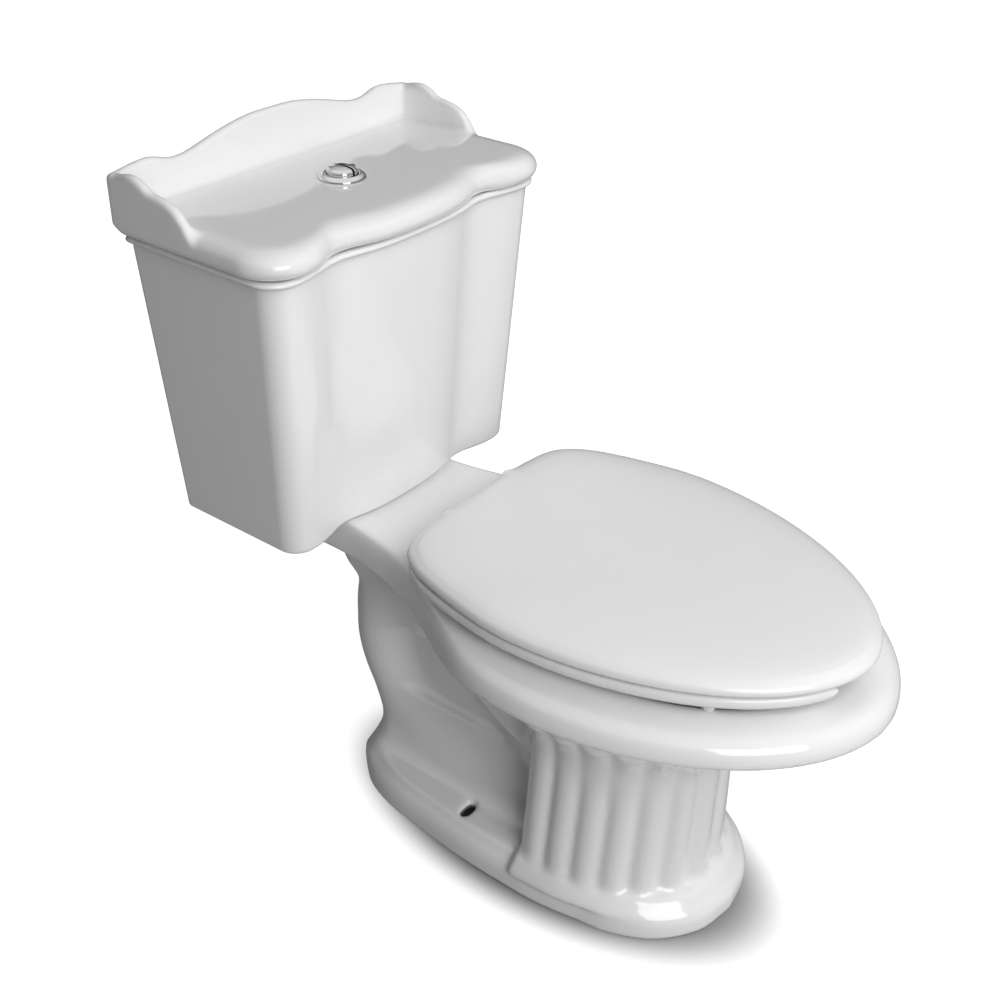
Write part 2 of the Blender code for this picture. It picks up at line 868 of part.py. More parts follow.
def column_rings():
    """Rings of the column: plain at the foot, reeded and narrowing up its height, coved out at the top."""
    low, high = COLUMN_SPREAD_LOW, COLUMN_SPREAD_HIGH
    foot = PLINTH_HEIGHT + REED_FOOT
    rings = [level(column_outline(0, 0, low), PLINTH_HEIGHT - OVERRUN)]
    for share, groove in REED_SHARES:
        outline = column_outline(0, groove, blend(low, high, share))
        rings.append(level(outline, blend(foot, COLUMN_TOP, share)))
    rings.append(level(column_outline(COLUMN_COVE, 0, high), COLUMN_TOP + COLUMN_COVE))
    return rings


def plinth_rings():
    """Rings of the plinth's moulding."""
    outline = plinth_outline()
    return [
        level(offset(outline, -PLINTH_STEP * inward), PLINTH_HEIGHT * height)
        for height, inward in PLINTH_SHARES
    ]


def make_bowl(china):
    """The bowl, its pedestal and its trapway as one china body."""
    band = [
        level(rim_outline(BAND_FLARE * flare), blend(BAND_BOTTOM, DECK_TOP, height))
        for height, flare in BAND_SHARES
    ]
    bowl = loft("bowl", band, china)
    trap_line = smooth([(OUTLET_DEPTH * u, CROWN_HEIGHT * z) for u, z in TRAP_SHARES], TRAP_STEPS)
    trap_reach = trap_line + [(trap_line[-1][0], -OVERRUN)]
    web = [
        (WEB_REAR, WEB_BOTTOM),
        (WEB_REAR, CROWN_HEIGHT),
        (BODY_FRONT, CROWN_HEIGHT),
        (BODY_FRONT, WEB_BOTTOM),
    ]
    add(
        bowl,
        loft("bowl_under", bowl_rings(UNDER_BAND_SHARES)),
        loft("column", column_rings()),
        loft("plinth", plinth_rings()),
        loft("trapway", trap_rings(TRAP_HALF_WIDTH, TRAP_HALF_HEIGHT, trap_line[:-1])),
        loft("foot", body_rings(FOOT_SHARES, FOOT_CORNER)),
        loft("neck", body_rings(NECK_SHARES, NECK_CORNER)),
        side_prism("web", web, -WEB_HALF_WIDTH, WEB_HALF_WIDTH),
    )
    cut(
        bowl,
        plinth_hollow(),
        column_hollow(),
        foot_hollow(trap_line),
        loft("cavity", bowl_rings(CAVITY_SHARES)),
        mouth(),
        rim_channel(),
        loft("trap_bore", trap_rings(TRAP_BORE, TRAP_BORE, trap_reach)),
    )
    cut(bowl, *deck_cutters())
    for side in (-1, 1):
        slot = slot_outline(side * BOLT_SLOT_SPACING / 2, BOLT_SLOT_DEPTH)
        cut(bowl, prism(f"bolt_slot_{side}", slot, -OVERRUN, PLINTH_HEIGHT + OVERRUN))
    return bowl


def slot_outline(across, depth):
    """A floor bolt's slot, rounded at both ends."""
    radius = BOLT_SLOT_WIDTH / 2
    half = BOLT_SLOT_LENGTH / 2 - radius
    return (
        arc((across, depth + half), radius, 0, math.pi, 6)
        + arc((across, depth - half), radius, math.pi, math.tau, 6)
    )


def plinth_hollow():
    """The open underside of the plinth, which leaves a collar round the outlet and round each bolt slot."""
    inside = offset(plinth_outline(), -(PLINTH_WALL + PLINTH_STEP))
    hollow = prism("plinth_hollow", inside, -OVERRUN, PLINTH_HEIGHT - PLINTH_ROOF)
    spot = place(0, OUTLET_DEPTH, 0)
    collar = TRAP_BORE + CHINA_WALL + OUTLET_CLEARANCE
    cut(hollow, rod("outlet_collar", spot, collar, -OVERRUN * 2, PLINTH_HEIGHT))
    return hollow


def column_hollow():
    """The hollow inside the column, round the outside of the sump."""
    half_width = COLUMN_HALF_WIDTH - COLUMN_WALL
    rear = COLUMN_CENTRE - COLUMN_BACK + COLUMN_WALL
    front = half_egg(half_width, COLUMN_CENTRE, COLUMN_CENTRE + COLUMN_REACH - COLUMN_WALL, 2, 8)
    inside = mirrored(front + [(half_width, COLUMN_CENTRE), (half_width, rear), (0, rear)])
    hollow = prism("column_hollow", inside, -OVERRUN, COLUMN_HOLLOW_TOP)
    return cut(hollow, loft("sump_outside", bowl_rings(UNDER_BAND_SHARES)))


def foot_hollow(trap_line):
    """The hollow inside the foot, under the trapway."""
    rings = []
    for height, rear, width in ((-FOOT_SHARES[0][0], *FOOT_SHARES[0][1:]), *FOOT_SHARES[:4]):
        outline = rounded_block(
            OUTLET_DEPTH * rear + FOOT_WALL,
            BODY_FRONT - FOOT_WALL,
            TRAP_HALF_WIDTH * width - FOOT_WALL,
            FOOT_CORNER / 2,
        )
        rings.append(level(outline, DECK_TOP * height))
    hollow = loft("foot_hollow", rings)
    return cut(hollow, loft("trap_outside", trap_rings(TRAP_HALF_WIDTH, TRAP_HALF_HEIGHT, trap_line)))


def mouth():
    """The opening inside the rim."""
    outline = egg(MOUTH_HALF_WIDTH, MOUTH_FRONT, MOUTH_REAR, MOUTH_CENTRE)
    return prism("mouth", outline, DECK_TOP - MOUTH_LIP_DEPTH - OVERRUN, DECK_TOP + OVERRUN)


def rim_channel():
    """The water channel under the rim, wider above the band's ledge and open downwards behind the lip."""
    rear = MOUTH_REAR - RIM_LIP_WALL * 2
    ledge = BAND_BOTTOM + RIM_CHANNEL_LEDGE
    rings = [
        level(egg(RIM_HALF_WIDTH - wall, RIM_FRONT - wall, rear, RIM_CENTRE), height)
        for height, wall in (
            (BAND_BOTTOM - FIT_GAP, RIM_CHANNEL_LOW_WALL),
            (ledge, RIM_CHANNEL_LOW_WALL),
            (ledge + RIM_CHANNEL_LEDGE / 4, RIM_CHANNEL_HIGH_WALL),
            (DECK_TOP - RIM_COVER, RIM_CHANNEL_HIGH_WALL),
        )
    ]
    channel = loft("rim_channel", rings)
    lip = offset(egg(MOUTH_HALF_WIDTH, MOUTH_FRONT, MOUTH_REAR, MOUTH_CENTRE), RIM_LIP_WALL)
    return cut(channel, prism("rim_lip", lip, DECK_TOP - MOUTH_LIP_DEPTH, DECK_TOP))


def deck_cutters():
    """The inlet, its channel to the rim, the gasket's seat, and the holes and pockets for bolts."""
    spot = place(0, VALVE_DEPTH, DECK_TOP)
    floor = DECK_TOP - RIM_COVER - INLET_CHANNEL_HEIGHT
    start, end = VALVE_DEPTH + INLET_RADIUS / 4, MOUTH_REAR - RIM_LIP_WALL * 1.5
    channel = [
        (INLET_CHANNEL_HALF_WIDTH, start),
        (INLET_CHANNEL_HALF_WIDTH, end),
        (-INLET_CHANNEL_HALF_WIDTH, end),
        (-INLET_CHANNEL_HALF_WIDTH, start),
    ]
    stepped = [
        (0, floor - DECK_TOP),
        (INLET_RADIUS, floor - DECK_TOP),
        (INLET_RADIUS, -GASKET_POCKET_DEPTH),
        (GASKET_POCKET_RADIUS, -GASKET_POCKET_DEPTH),
        (GASKET_POCKET_RADIUS, OVERRUN),
        (0, OVERRUN),
    ]
    inlet = turned("inlet", stepped, spot)
    add(inlet, prism("inlet_channel", channel, floor + INLET_STEP, DECK_TOP - RIM_COVER - INLET_STEP))
    tools = [inlet]
    for side in (-1, 1):
        bolt = place(side * TANK_BOLT_SPACING / 2, TANK_BOLT_DEPTH, DECK_TOP)
        radius = TANK_BOLT_RADIUS + TANK_BOLT_CLEARANCE
        tools.append(rod(f"tank_bolt_hole_{side}", bolt, radius, -BAND_HEIGHT, OVERRUN, segments=12))
        hinge = place(side * HINGE_SPACING / 2, HINGE_DEPTH, DECK_TOP)
        radius = HINGE_BOLT_RADIUS + HINGE_BOLT_CLEARANCE
        low = -BAND_HEIGHT - OVERRUN
        tools.append(rod(f"hinge_hole_{side}", hinge, radius, low, OVERRUN, segments=12))
        left = side * TANK_BOLT_SPACING / 2 - DECK_POCKET_WIDTH / 2
        pocket = [
            (left, TANK_BOLT_DEPTH - DECK_POCKET_LENGTH / 2),
            (left + DECK_POCKET_WIDTH, TANK_BOLT_DEPTH - DECK_POCKET_LENGTH / 2),
            (left + DECK_POCKET_WIDTH, TANK_BOLT_DEPTH + DECK_POCKET_LENGTH / 2),
            (left, TANK_BOLT_DEPTH + DECK_POCKET_LENGTH / 2),
        ]
        top = BAND_BOTTOM + DECK_POCKET_DEPTH
        tools.append(prism(f"deck_pocket_{side}", pocket, BAND_BOTTOM - FIT_GAP, top))
    return tools


# Tank and lid

def tank_outline(height, inset):
    """Plan of the tank at a height, moved inwards by the inset."""
    share = (height - TANK_BASE) / TANK_HEIGHT
    return serpentine(
        blend(TANK_BOTTOM_HALF_WIDTH, TANK_TOP_HALF_WIDTH, share),
        blend(TANK_BOTTOM_FRONT, TANK_TOP_FRONT, share),
        blend(TANK_BOTTOM_REAR, TANK_TOP_REAR, share),
        TANK_CORNER,
        TANK_REAR_CORNER,
        -inset,
    )


def make_tank(china):
    """The tank: outside, lip, inside and floor in one skin, with its holes."""
    inner_edge = TANK_EDGE / 2
    levels = (
        (TANK_BASE, TANK_EDGE),
        (TANK_BASE + TANK_EDGE * 0.3, TANK_EDGE * 0.3),
        (TANK_BASE + TANK_EDGE, 0),
        (TANK_TOP - LIP_HEIGHT, 0),
        (TANK_TOP - LIP_HEIGHT * 0.5, -LIP_REACH * 0.4),
        (TANK_TOP - LIP_HEIGHT * 0.3, -LIP_REACH),
        (TANK_TOP, -LIP_REACH),
        (TANK_TOP, TANK_WALL),
        (TANK_INSIDE + inner_edge, TANK_WALL),
        (TANK_INSIDE, TANK_WALL + inner_edge),
    )
    tank = loft("tank", [level(tank_outline(z, inset), z) for z, inset in levels], china)
    cut(tank, rod("valve_hole", place(0, VALVE_DEPTH, TANK_BASE), INLET_RADIUS, -OVERRUN, OVERRUN))
    fill = place(-FILL_OFFSET, FILL_DEPTH, TANK_BASE)
    cut(tank, rod("fill_hole", fill, SHANK_RADIUS + SHANK_HOLE_CLEARANCE, -OVERRUN, OVERRUN, segments=16))
    for side in (-1, 1):
        spot = place(side * TANK_BOLT_SPACING / 2, TANK_BOLT_DEPTH, TANK_BASE)
        hole = TANK_BOLT_RADIUS + TANK_BOLT_CLEARANCE
        cut(tank, rod(f"tank_floor_hole_{side}", spot, hole, -OVERRUN, OVERRUN, segments=12))
    return tank


def gallery_stations():
    """Stations along the right half of the gallery: outer plan point, outward direction and top height."""
    reach = LID_HALF_WIDTH + BULLNOSE
    stations = []
    for share, height in GALLERY_BACK_SHARES:
        stations.append(((reach * share, 0), (0, -1), height))
    corner_height = (GALLERY_BACK_SHARES[-1][1] + GALLERY_WING_SHARES[0][1]) / 2
    for k in range(4):
        t = -math.pi / 2 + math.pi / 2 * k / 3
        spoke = (math.cos(t), math.sin(t))
        spot = (
            reach - GALLERY_CORNER + GALLERY_CORNER * spoke[0],
            GALLERY_CORNER + GALLERY_CORNER * spoke[1],
        )
        stations.append((spot, spoke, corner_height))
    for share, height in GALLERY_WING_SHARES:
        if GALLERY_LENGTH * share > GALLERY_CORNER:
            stations.append(((reach, GALLERY_LENGTH * share), (1, 0), height))
    return stations


def make_gallery():
    """The raised wall round the back and the sides of the lid's tray."""
    half = gallery_stations()
    left = [((-spot[0], spot[1]), (-out[0], out[1]), height) for spot, out, height in half[1:]]
    rings = []
    for spot, out, height in left[::-1] + half:
        top = TRAY_TOP + GALLERY_HEIGHT * height
        base = TRAY_TOP - GALLERY_SINK
        ring = [(0, base)]
        ring += [(across, top - GALLERY_WALL * down) for across, down in GALLERY_ROUND_SHARES]
        ring += [(1, base)]
        rings.append([
            place(spot[0] - out[0] * GALLERY_WALL * across, spot[1] - out[1] * GALLERY_WALL * across, z)
            for across, z in ring
        ])
    return loft("gallery", rings)


def make_lid(china):
    """The tank lid: bullnosed slab, recess and locating rib below, gallery above."""
    sizes = (LID_HALF_WIDTH, LID_FRONT, LID_REAR, LID_CORNER, LID_REAR_CORNER)
    rings = [
        level(serpentine(*sizes, BULLNOSE * outward), LID_BASE + LID_HEIGHT * height)
        for height, outward in BULLNOSE_SHARES
    ]
    lid = loft("tank_lid", rings, china)
    rib = tank_outline(TANK_TOP, TANK_WALL + LID_RIB_GAP)
    recess = tank_outline(TANK_TOP, TANK_WALL + LID_RIB_GAP + LID_RIB_WALL)
    add(lid, prism("lid_rib", rib, LID_BASE - LID_RIB_HEIGHT, LID_BASE + FIT_GAP), make_gallery())
    button_hole = BEZEL_BARREL_RADIUS + BEZEL_HOLE_CLEARANCE
    cut(
        lid,
        prism("lid_recess", recess, LID_BASE - OVERRUN, LID_BASE + LID_HEIGHT - LID_ROOF),
        rod("button_hole", place(0, BUTTON_DEPTH, LID_BASE), button_hole, -OVERRUN, LID_HEIGHT + OVERRUN),
    )
    return lid


# Seat, cover and hinge

def cover_outline():
    """Plan of the cover: a long egg with a straight rear edge."""
    front = half_egg(COVER_HALF_WIDTH, COVER_CENTRE, COVER_FRONT, COVER_POWER_SHARE, 10)
    reach = COVER_CENTRE - COVER_REAR
    back = [(COVER_HALF_WIDTH * width, COVER_CENTRE - reach * share) for share, width in COVER_BACK_SHARES]
    return mirrored(front + back + [(0, COVER_REAR)])


def lug(name, side, inward, arm_low, arm_high):
    """A hinge lug in one outline: a knuckle round the hinge axis and an arm forwards into its leaf."""
    near_edge = HINGE_SPACING / 2 - inward * (HINGE_POST_WIDTH / 2 + HINGE_SIDE_GAP)
    near, far = sorted((side * near_edge, side * (near_edge - inward * HINGE_LUG_WIDTH)))
    tip = HINGE_DEPTH + SEAT_NOTCH_DEPTH + LUG_GRIP
    start = math.asin(min(1, (arm_high - HINGE_HEIGHT) / HINGE_RADIUS))
    end = math.asin((arm_low - HINGE_HEIGHT) / HINGE_RADIUS)
    knuckle = arc((HINGE_DEPTH, HINGE_HEIGHT), HINGE_RADIUS, start, math.tau + end, 14)
    if arm_high > HINGE_HEIGHT + HINGE_RADIUS:
        left = HINGE_DEPTH - HINGE_RADIUS
        kept = [point for point in knuckle[1:] if point[0] > left or point[1] < HINGE_HEIGHT]
        knuckle = [(left, arm_high)] + kept
    return side_prism(name, knuckle + [(tip, arm_low), (tip, arm_high)], near, far)


def pin_hole(name):
    """The bore of both hinges at once."""
    axis = place(0, HINGE_DEPTH, HINGE_HEIGHT)
    reach = HINGE_SPACING
    return rod(name, axis, HINGE_PIN_RADIUS + HINGE_PIN_CLEARANCE, -reach, reach, segments=14, along="X")


def make_seat(plastic):
    """The open-front seat ring with its two hinge lugs."""
    outline = cover_outline()
    rings = [
        level(offset(outline, -SEAT_INSET - SEAT_TAPER), SEAT_BASE),
        level(offset(outline, -SEAT_INSET - SEAT_TAPER * 0.3), blend(SEAT_BASE, SEAT_TOP, 0.4)),
        level(offset(outline, -SEAT_INSET), blend(SEAT_BASE, SEAT_TOP, 0.8)),
        level(offset(outline, -SEAT_INSET * 2), SEAT_TOP),
    ]
    seat = loft("seat", rings, plastic)
    opening_front = COVER_FRONT + OVERRUN
    hole_half = COVER_HALF_WIDTH - SEAT_RING_WIDTH
    hole_front = COVER_FRONT - SEAT_RING_WIDTH
    hole = egg(hole_half, hole_front, SEAT_OPENING_REAR, COVER_CENTRE + SEAT_RING_WIDTH / 2)
    gap = [
        (SEAT_GAP_HALF_WIDTH, COVER_CENTRE),
        (SEAT_GAP_HALF_WIDTH, opening_front),
        (-SEAT_GAP_HALF_WIDTH, opening_front),
        (-SEAT_GAP_HALF_WIDTH, COVER_CENTRE),
    ]
    notch = [
        (SEAT_NOTCH_HALF_WIDTH, COVER_REAR - OVERRUN),
        (SEAT_NOTCH_HALF_WIDTH, COVER_REAR + SEAT_NOTCH_DEPTH),
        (-SEAT_NOTCH_HALF_WIDTH, COVER_REAR + SEAT_NOTCH_DEPTH),
        (-SEAT_NOTCH_HALF_WIDTH, COVER_REAR - OVERRUN),
    ]
    low, high = SEAT_BASE - OVERRUN, SEAT_TOP + OVERRUN
    cut(
        seat,
        prism("seat_hole", hole, low, high),
        prism("seat_gap", gap, low, high),
        prism("seat_notch", notch, low, high),
    )
    low, high = HINGE_HEIGHT - HINGE_RADIUS * LUG_ARM_SHARE, HINGE_HEIGHT + HINGE_RADIUS * LUG_ARM_SHARE
    add(seat, *[lug(f"seat_lug_{side}", side, -1, low, high) for side in (-1, 1)])
    return cut(seat, pin_hole("seat_pin_hole"))


def make_cover(plastic):
    """The cover: a shallow crowned shell, hollow below, with two hinge lugs."""
    outline = cover_outline()
    middle = (COVER_FRONT + COVER_REAR) / 2
    height = COVER_EDGE + COVER_CROWN
    rings = [
        level([(x * size, middle + (u - middle) * size) for x, u in outline], COVER_BASE + height * rise)
        for rise, size in COVER_SHARES
    ]
    cover = loft("seat_cover", rings, plastic)
    inside = offset(outline, -COVER_WALL * 2)
    cut(cover, prism("cover_inside", inside, COVER_BASE - OVERRUN, COVER_BASE + COVER_EDGE - COVER_WALL))
    low, high = COVER_BASE - COVER_LUG_DROP, COVER_BASE + COVER_EDGE - COVER_WALL / 2
    add(cover, *[lug(f"cover_lug_{side}", side, 1, low, high) for side in (-1, 1)])
    return cut(cover, pin_hole("cover_pin_hole"))


def make_hinge(side, label, plastic, metal):
    """One hinge: post with its stud, pin, and the nut under the deck."""
    spot = place(side * HINGE_SPACING / 2, HINGE_DEPTH, DECK_TOP + FIT_GAP)
    axis = place(side * HINGE_SPACING / 2, HINGE_DEPTH, HINGE_HEIGHT)
    half = HINGE_POST_WIDTH / 2
    post = rod(f"hinge_post_{label}", spot, HINGE_BASE_RADIUS, 0, HINGE_BASE_HEIGHT, plastic)
    neck = [
        (HINGE_DEPTH - HINGE_RADIUS, DECK_TOP + HINGE_BASE_HEIGHT / 2),
        (HINGE_DEPTH + HINGE_RADIUS, DECK_TOP + HINGE_BASE_HEIGHT / 2),
        (HINGE_DEPTH + HINGE_RADIUS, HINGE_HEIGHT),
        (HINGE_DEPTH - HINGE_RADIUS, HINGE_HEIGHT),
    ]
    hole = HINGE_PIN_RADIUS + HINGE_PIN_CLEARANCE
    stud_low = -BAND_HEIGHT - HINGE_BOLT_TAIL
    add(
        post,
        side_prism(f"post_neck_{label}", neck, axis.x - half, axis.x + half),
        rod(f"post_knuckle_{label}", axis, HINGE_RADIUS, -half, half, segments=16, along="X"),
        rod(f"post_stud_{label}", spot, HINGE_BOLT_RADIUS, stud_low, HINGE_BASE_HEIGHT / 2, segments=16),
    )
    cut(post, rod(f"post_hole_{label}", axis, hole, -half * 2, half * 2, segments=16, along="X"))
    reach = half + HINGE_SIDE_GAP + HINGE_LUG_WIDTH
    rod(f"hinge_pin_{label}", axis, HINGE_PIN_RADIUS, -reach, reach, metal, segments=16, along="X")
    under = -BAND_HEIGHT - FIT_GAP * 2
    bore = HINGE_BOLT_RADIUS + FIT_GAP
    low = under - HINGE_NUT_HEIGHT
    tube(f"hinge_nut_{label}", spot, HINGE_NUT_RADIUS, bore, low, under, plastic, segments=8)


def make_bumpers(rubber):
    """Bumpers under the seat and under the cover."""
    spots = {"front": FRONT_BUMPER_SPOT, "rear": REAR_BUMPER_SPOT}
    for side, label in ((-1, "left"), (1, "right")):
        for end, (across, depth) in spots.items():
            foot = place(side * across, depth, DECK_TOP + FIT_GAP)
            height = SEAT_GAP - FIT_GAP * 2
            rod(f"seat_bumper_{end}_{label}", foot, BUMPER_RADIUS, 0, height, rubber, segments=12)
        across, depth = COVER_BUMPER_SPOT
        foot = place(side * across, depth, SEAT_TOP + FIT_GAP)
        drop = COVER_GAP + COVER_EDGE - COVER_WALL - FIT_GAP * 2
        rod(f"cover_bumper_{label}", foot, BUMPER_RADIUS, 0, drop, rubber, segments=12)


# Between tank and bowl

def make_tank_joint(rubber, brass):
    """The gasket under the tank and the two bolts that clamp it."""
    spot = place(0, VALVE_DEPTH, DECK_TOP)
    outer = GASKET_POCKET_RADIUS - FIT_GAP
    tube("tank_gasket", spot, outer, VALVE_NUT_RADIUS + FIT_GAP, FIT_GAP - GASKET_POCKET_DEPTH, 0, rubber)
    for side, label in ((-1, "left"), (1, "right")):
        hole = place(side * TANK_BOLT_SPACING / 2, TANK_BOLT_DEPTH, TANK_INSIDE)
        washer_top = FIT_GAP + TANK_WASHER
        bore = TANK_BOLT_RADIUS + FIT_GAP
        tube(f"tank_washer_{label}", hole, TANK_WASHER_RADIUS, bore, FIT_GAP, washer_top, rubber, segments=16)
        head = washer_top + FIT_GAP
        tail = DECK_TOP - TANK_BOLT_TAIL - TANK_INSIDE
        profile = [
            (0, tail),
            (TANK_BOLT_RADIUS, tail),
            (TANK_BOLT_RADIUS, head),
            (TANK_BOLT_HEAD_RADIUS, head),
            (TANK_BOLT_HEAD_RADIUS, head + TANK_BOLT_HEAD * 0.6),
            (TANK_BOLT_HEAD_RADIUS * 0.7, head + TANK_BOLT_HEAD),
            (0, head + TANK_BOLT_HEAD),
        ]
        turned(f"tank_bolt_{label}", profile, hole, brass, segments=12)
        under = BAND_BOTTOM + DECK_POCKET_DEPTH - FIT_GAP - TANK_INSIDE
        low = under - TANK_NUT_HEIGHT
        tube(f"tank_nut_{label}", hole, TANK_NUT_RADIUS, bore, low, under, brass, segments=6)


# Flush valve, with heights counted from the top of its washer on the tank's floor

def valve_point(across, depth, height):
    """World place of a point of the flush valve."""
    return place(across, depth, VALVE_FLOOR + height)


def make_flush_valve(plastic, rubber, metal):
    """The valve's fixed body, its washer and nut, the lifting plug, the rocker and the half-flush float."""
    foot = valve_point(0, VALVE_DEPTH, 0)
    profile = [
        (VALVE_BORE, -VALVE_TAIL_LENGTH),
        (VALVE_TAIL_RADIUS, -VALVE_TAIL_LENGTH),
        (VALVE_TAIL_RADIUS, 0),
        (VALVE_FLANGE_RADIUS, 0),
        (VALVE_FLANGE_RADIUS, VALVE_FLANGE),
        (VALVE_SEAT_RADIUS, VALVE_FLANGE),
        (VALVE_SEAT_RADIUS - VALVE_SEAT_HEIGHT, VALVE_FLANGE + VALVE_SEAT_HEIGHT),
        (VALVE_BORE, VALVE_FLANGE + VALVE_SEAT_HEIGHT),
    ]
    body = turned("flush_valve_body", profile, foot, plastic)
    for side in (-1, 1):
        post = valve_point(side * POST_OFFSET, VALVE_DEPTH, 0)
        add(body, rod(f"valve_post_{side}", post, POST_RADIUS, VALVE_FLANGE / 2, BRIDGE_HEIGHT, segments=10))
    half = POST_OFFSET + POST_RADIUS + EAR_THICKNESS / 2
    bridge = [
        (half, VALVE_DEPTH - BRIDGE_REAR),
        (half, VALVE_DEPTH + BRIDGE_FRONT),
        (-half, VALVE_DEPTH + BRIDGE_FRONT),
        (-half, VALVE_DEPTH - BRIDGE_REAR),
    ]
    top = VALVE_FLOOR + BRIDGE_HEIGHT
    add(body, prism("bridge", bridge, top - BRIDGE_THICKNESS, top))
    pivot = valve_point(0, ROCKER_PIVOT, BRIDGE_HEIGHT + ROCKER_RISE)
    ear_start = ROCKER_HALF_WIDTH + ROCKER_PIN_CLEARANCE
    for side in (-1, 1):
        near, far = sorted((side * ear_start, side * (ear_start + EAR_THICKNESS)))
        web = [
            (ROCKER_PIVOT - EAR_RADIUS, top - BRIDGE_THICKNESS / 2),
            (ROCKER_PIVOT + EAR_RADIUS, top - BRIDGE_THICKNESS / 2),
            (ROCKER_PIVOT + EAR_RADIUS, pivot.z),
            (ROCKER_PIVOT - EAR_RADIUS, pivot.z),
        ]
        add(
            body,
            side_prism(f"ear_{side}", web, near, far),
            rod(f"ear_round_{side}", pivot, EAR_RADIUS, near, far, segments=12, along="X"),
        )
    sunk = -BRIDGE_THICKNESS / 2
    add(body, rod("hose_nipple_low", hose_end(), NIPPLE_RADIUS, sunk, NIPPLE_LENGTH, segments=8))
    pin_hole = ROCKER_PIN_RADIUS + ROCKER_PIN_CLEARANCE
    ear_end = ear_start + EAR_THICKNESS
    slide = valve_point(-ROD_OFFSET, ROD_DEPTH, BRIDGE_HEIGHT)
    stem = valve_point(0, VALVE_DEPTH, BRIDGE_HEIGHT)
    cut(
        body,
        rod("stem_hole", stem, STEM_RADIUS + STEM_CLEARANCE, -OVERRUN, OVERRUN, segments=16),
        rod("ear_hole", pivot, pin_hole, -ear_end * 2, ear_end * 2, segments=10, along="X"),
        rod("float_hole", slide, ROD_RADIUS + ROD_HOLE_CLEARANCE, -OVERRUN, OVERRUN, segments=10),
    )
    bore = VALVE_TAIL_RADIUS + FIT_GAP
    tube("flush_valve_washer", foot, VALVE_FLANGE_RADIUS, bore, -FIT_GAP - VALVE_WASHER, -FIT_GAP, rubber)
    under = TANK_BASE - FIT_GAP - VALVE_FLOOR
    low = under - VALVE_NUT_HEIGHT
    tube("flush_valve_nut", foot, VALVE_NUT_RADIUS, bore, low, under, plastic, segments=16)
    make_plug(plastic, rubber)
    make_rocker(pivot, plastic, metal)
    float_foot = valve_point(-ROD_OFFSET, ROD_DEPTH, BRIDGE_HEIGHT)
    low = -BRIDGE_THICKNESS - HALF_FLOAT_DROP
    profile = [
        (0, low - HALF_FLOAT_HEIGHT),
        (HALF_FLOAT_RADIUS, low - HALF_FLOAT_HEIGHT),
        (HALF_FLOAT_RADIUS, low),
        (ROD_RADIUS, low),
        (ROD_RADIUS, HALF_PAD_TOP - HALF_PAD_HEIGHT),
        (PAD_RADIUS, HALF_PAD_TOP - HALF_PAD_HEIGHT),
        (PAD_RADIUS, HALF_PAD_TOP),
        (0, HALF_PAD_TOP),
    ]
    turned("half_flush_float", profile, float_foot, plastic, segments=12)


def make_plug(plastic, rubber):
    """The lifting stem with its plug and collar, which is also the overflow, and the seal below it."""
    foot = valve_point(0, VALVE_DEPTH, 0)
    seat = VALVE_FLANGE + VALVE_SEAT_HEIGHT + FIT_GAP
    disc = seat + SEAL_THICKNESS + FIT_GAP
    bore = STEM_RADIUS - STEM_WALL
    collar = BRIDGE_HEIGHT + ROCKER_RISE + ROCKER_THICKNESS / 2 + COLLAR_GAP
    profile = [
        (bore, seat - VALVE_SEAT_HEIGHT),
        (STEM_RADIUS, seat - VALVE_SEAT_HEIGHT),
        (STEM_RADIUS, disc),
        (PLUG_RADIUS, disc),
        (PLUG_RADIUS, disc + PLUG_HEIGHT * 0.4),
        (STEM_RADIUS, disc + PLUG_HEIGHT),
        (STEM_RADIUS, collar),
        (COLLAR_RADIUS, collar),
        (COLLAR_RADIUS, collar + COLLAR_HEIGHT),
        (STEM_RADIUS, collar + COLLAR_HEIGHT),
        (STEM_RADIUS, STEM_TOP),
        (bore, STEM_TOP),
    ]
    turned("flush_plug", profile, foot, plastic, segments=16)
    tube("plug_seal", foot, SEAL_RADIUS, STEM_RADIUS + FIT_GAP, seat, disc - FIT_GAP, rubber)


def make_rocker(pivot, plastic, metal):
    """The forked rocker that turns a push on one side into a lift of the collar on the other."""
    half = ROCKER_THICKNESS / 2
    fork_inner = STEM_RADIUS + STEM_CLEARANCE * 2
    boss = EAR_RADIUS * 0.8
    reach = ROCKER_HALF_WIDTH
    rocker = rod("flush_rocker", pivot, boss, -reach, reach, plastic, segments=12, along="X")
    for side in (-1, 1):
        arm = [
            (VALVE_DEPTH - PAD_RADIUS, pivot.z - half),
            (ROCKER_PIVOT, pivot.z - half),
            (ROCKER_PIVOT, pivot.z + half),
            (VALVE_DEPTH - PAD_RADIUS, pivot.z + half),
        ]
        near, far = sorted((side * fork_inner, side * ROCKER_HALF_WIDTH))
        add(rocker, side_prism(f"fork_{side}", arm, near, far))
    push = [
        (ROCKER_PIVOT, pivot.z - half),
        (ROD_DEPTH + PAD_RADIUS, pivot.z - half),
        (ROD_DEPTH + PAD_RADIUS, pivot.z + half),
        (ROCKER_PIVOT, pivot.z + half),
    ]
    add(rocker, side_prism("push_arm", push, ROD_OFFSET - PAD_RADIUS, ROD_OFFSET + PAD_RADIUS))
    hole = ROCKER_PIN_RADIUS + ROCKER_PIN_CLEARANCE
    cut(rocker, rod("rocker_hole", pivot, hole, -reach * 2, reach * 2, segments=10, along="X"))
    reach = ROCKER_HALF_WIDTH + ROCKER_PIN_CLEARANCE + EAR_THICKNESS
    rod("rocker_pin", pivot, ROCKER_PIN_RADIUS, -reach, reach, metal, segments=10, along="X")


# Flush button

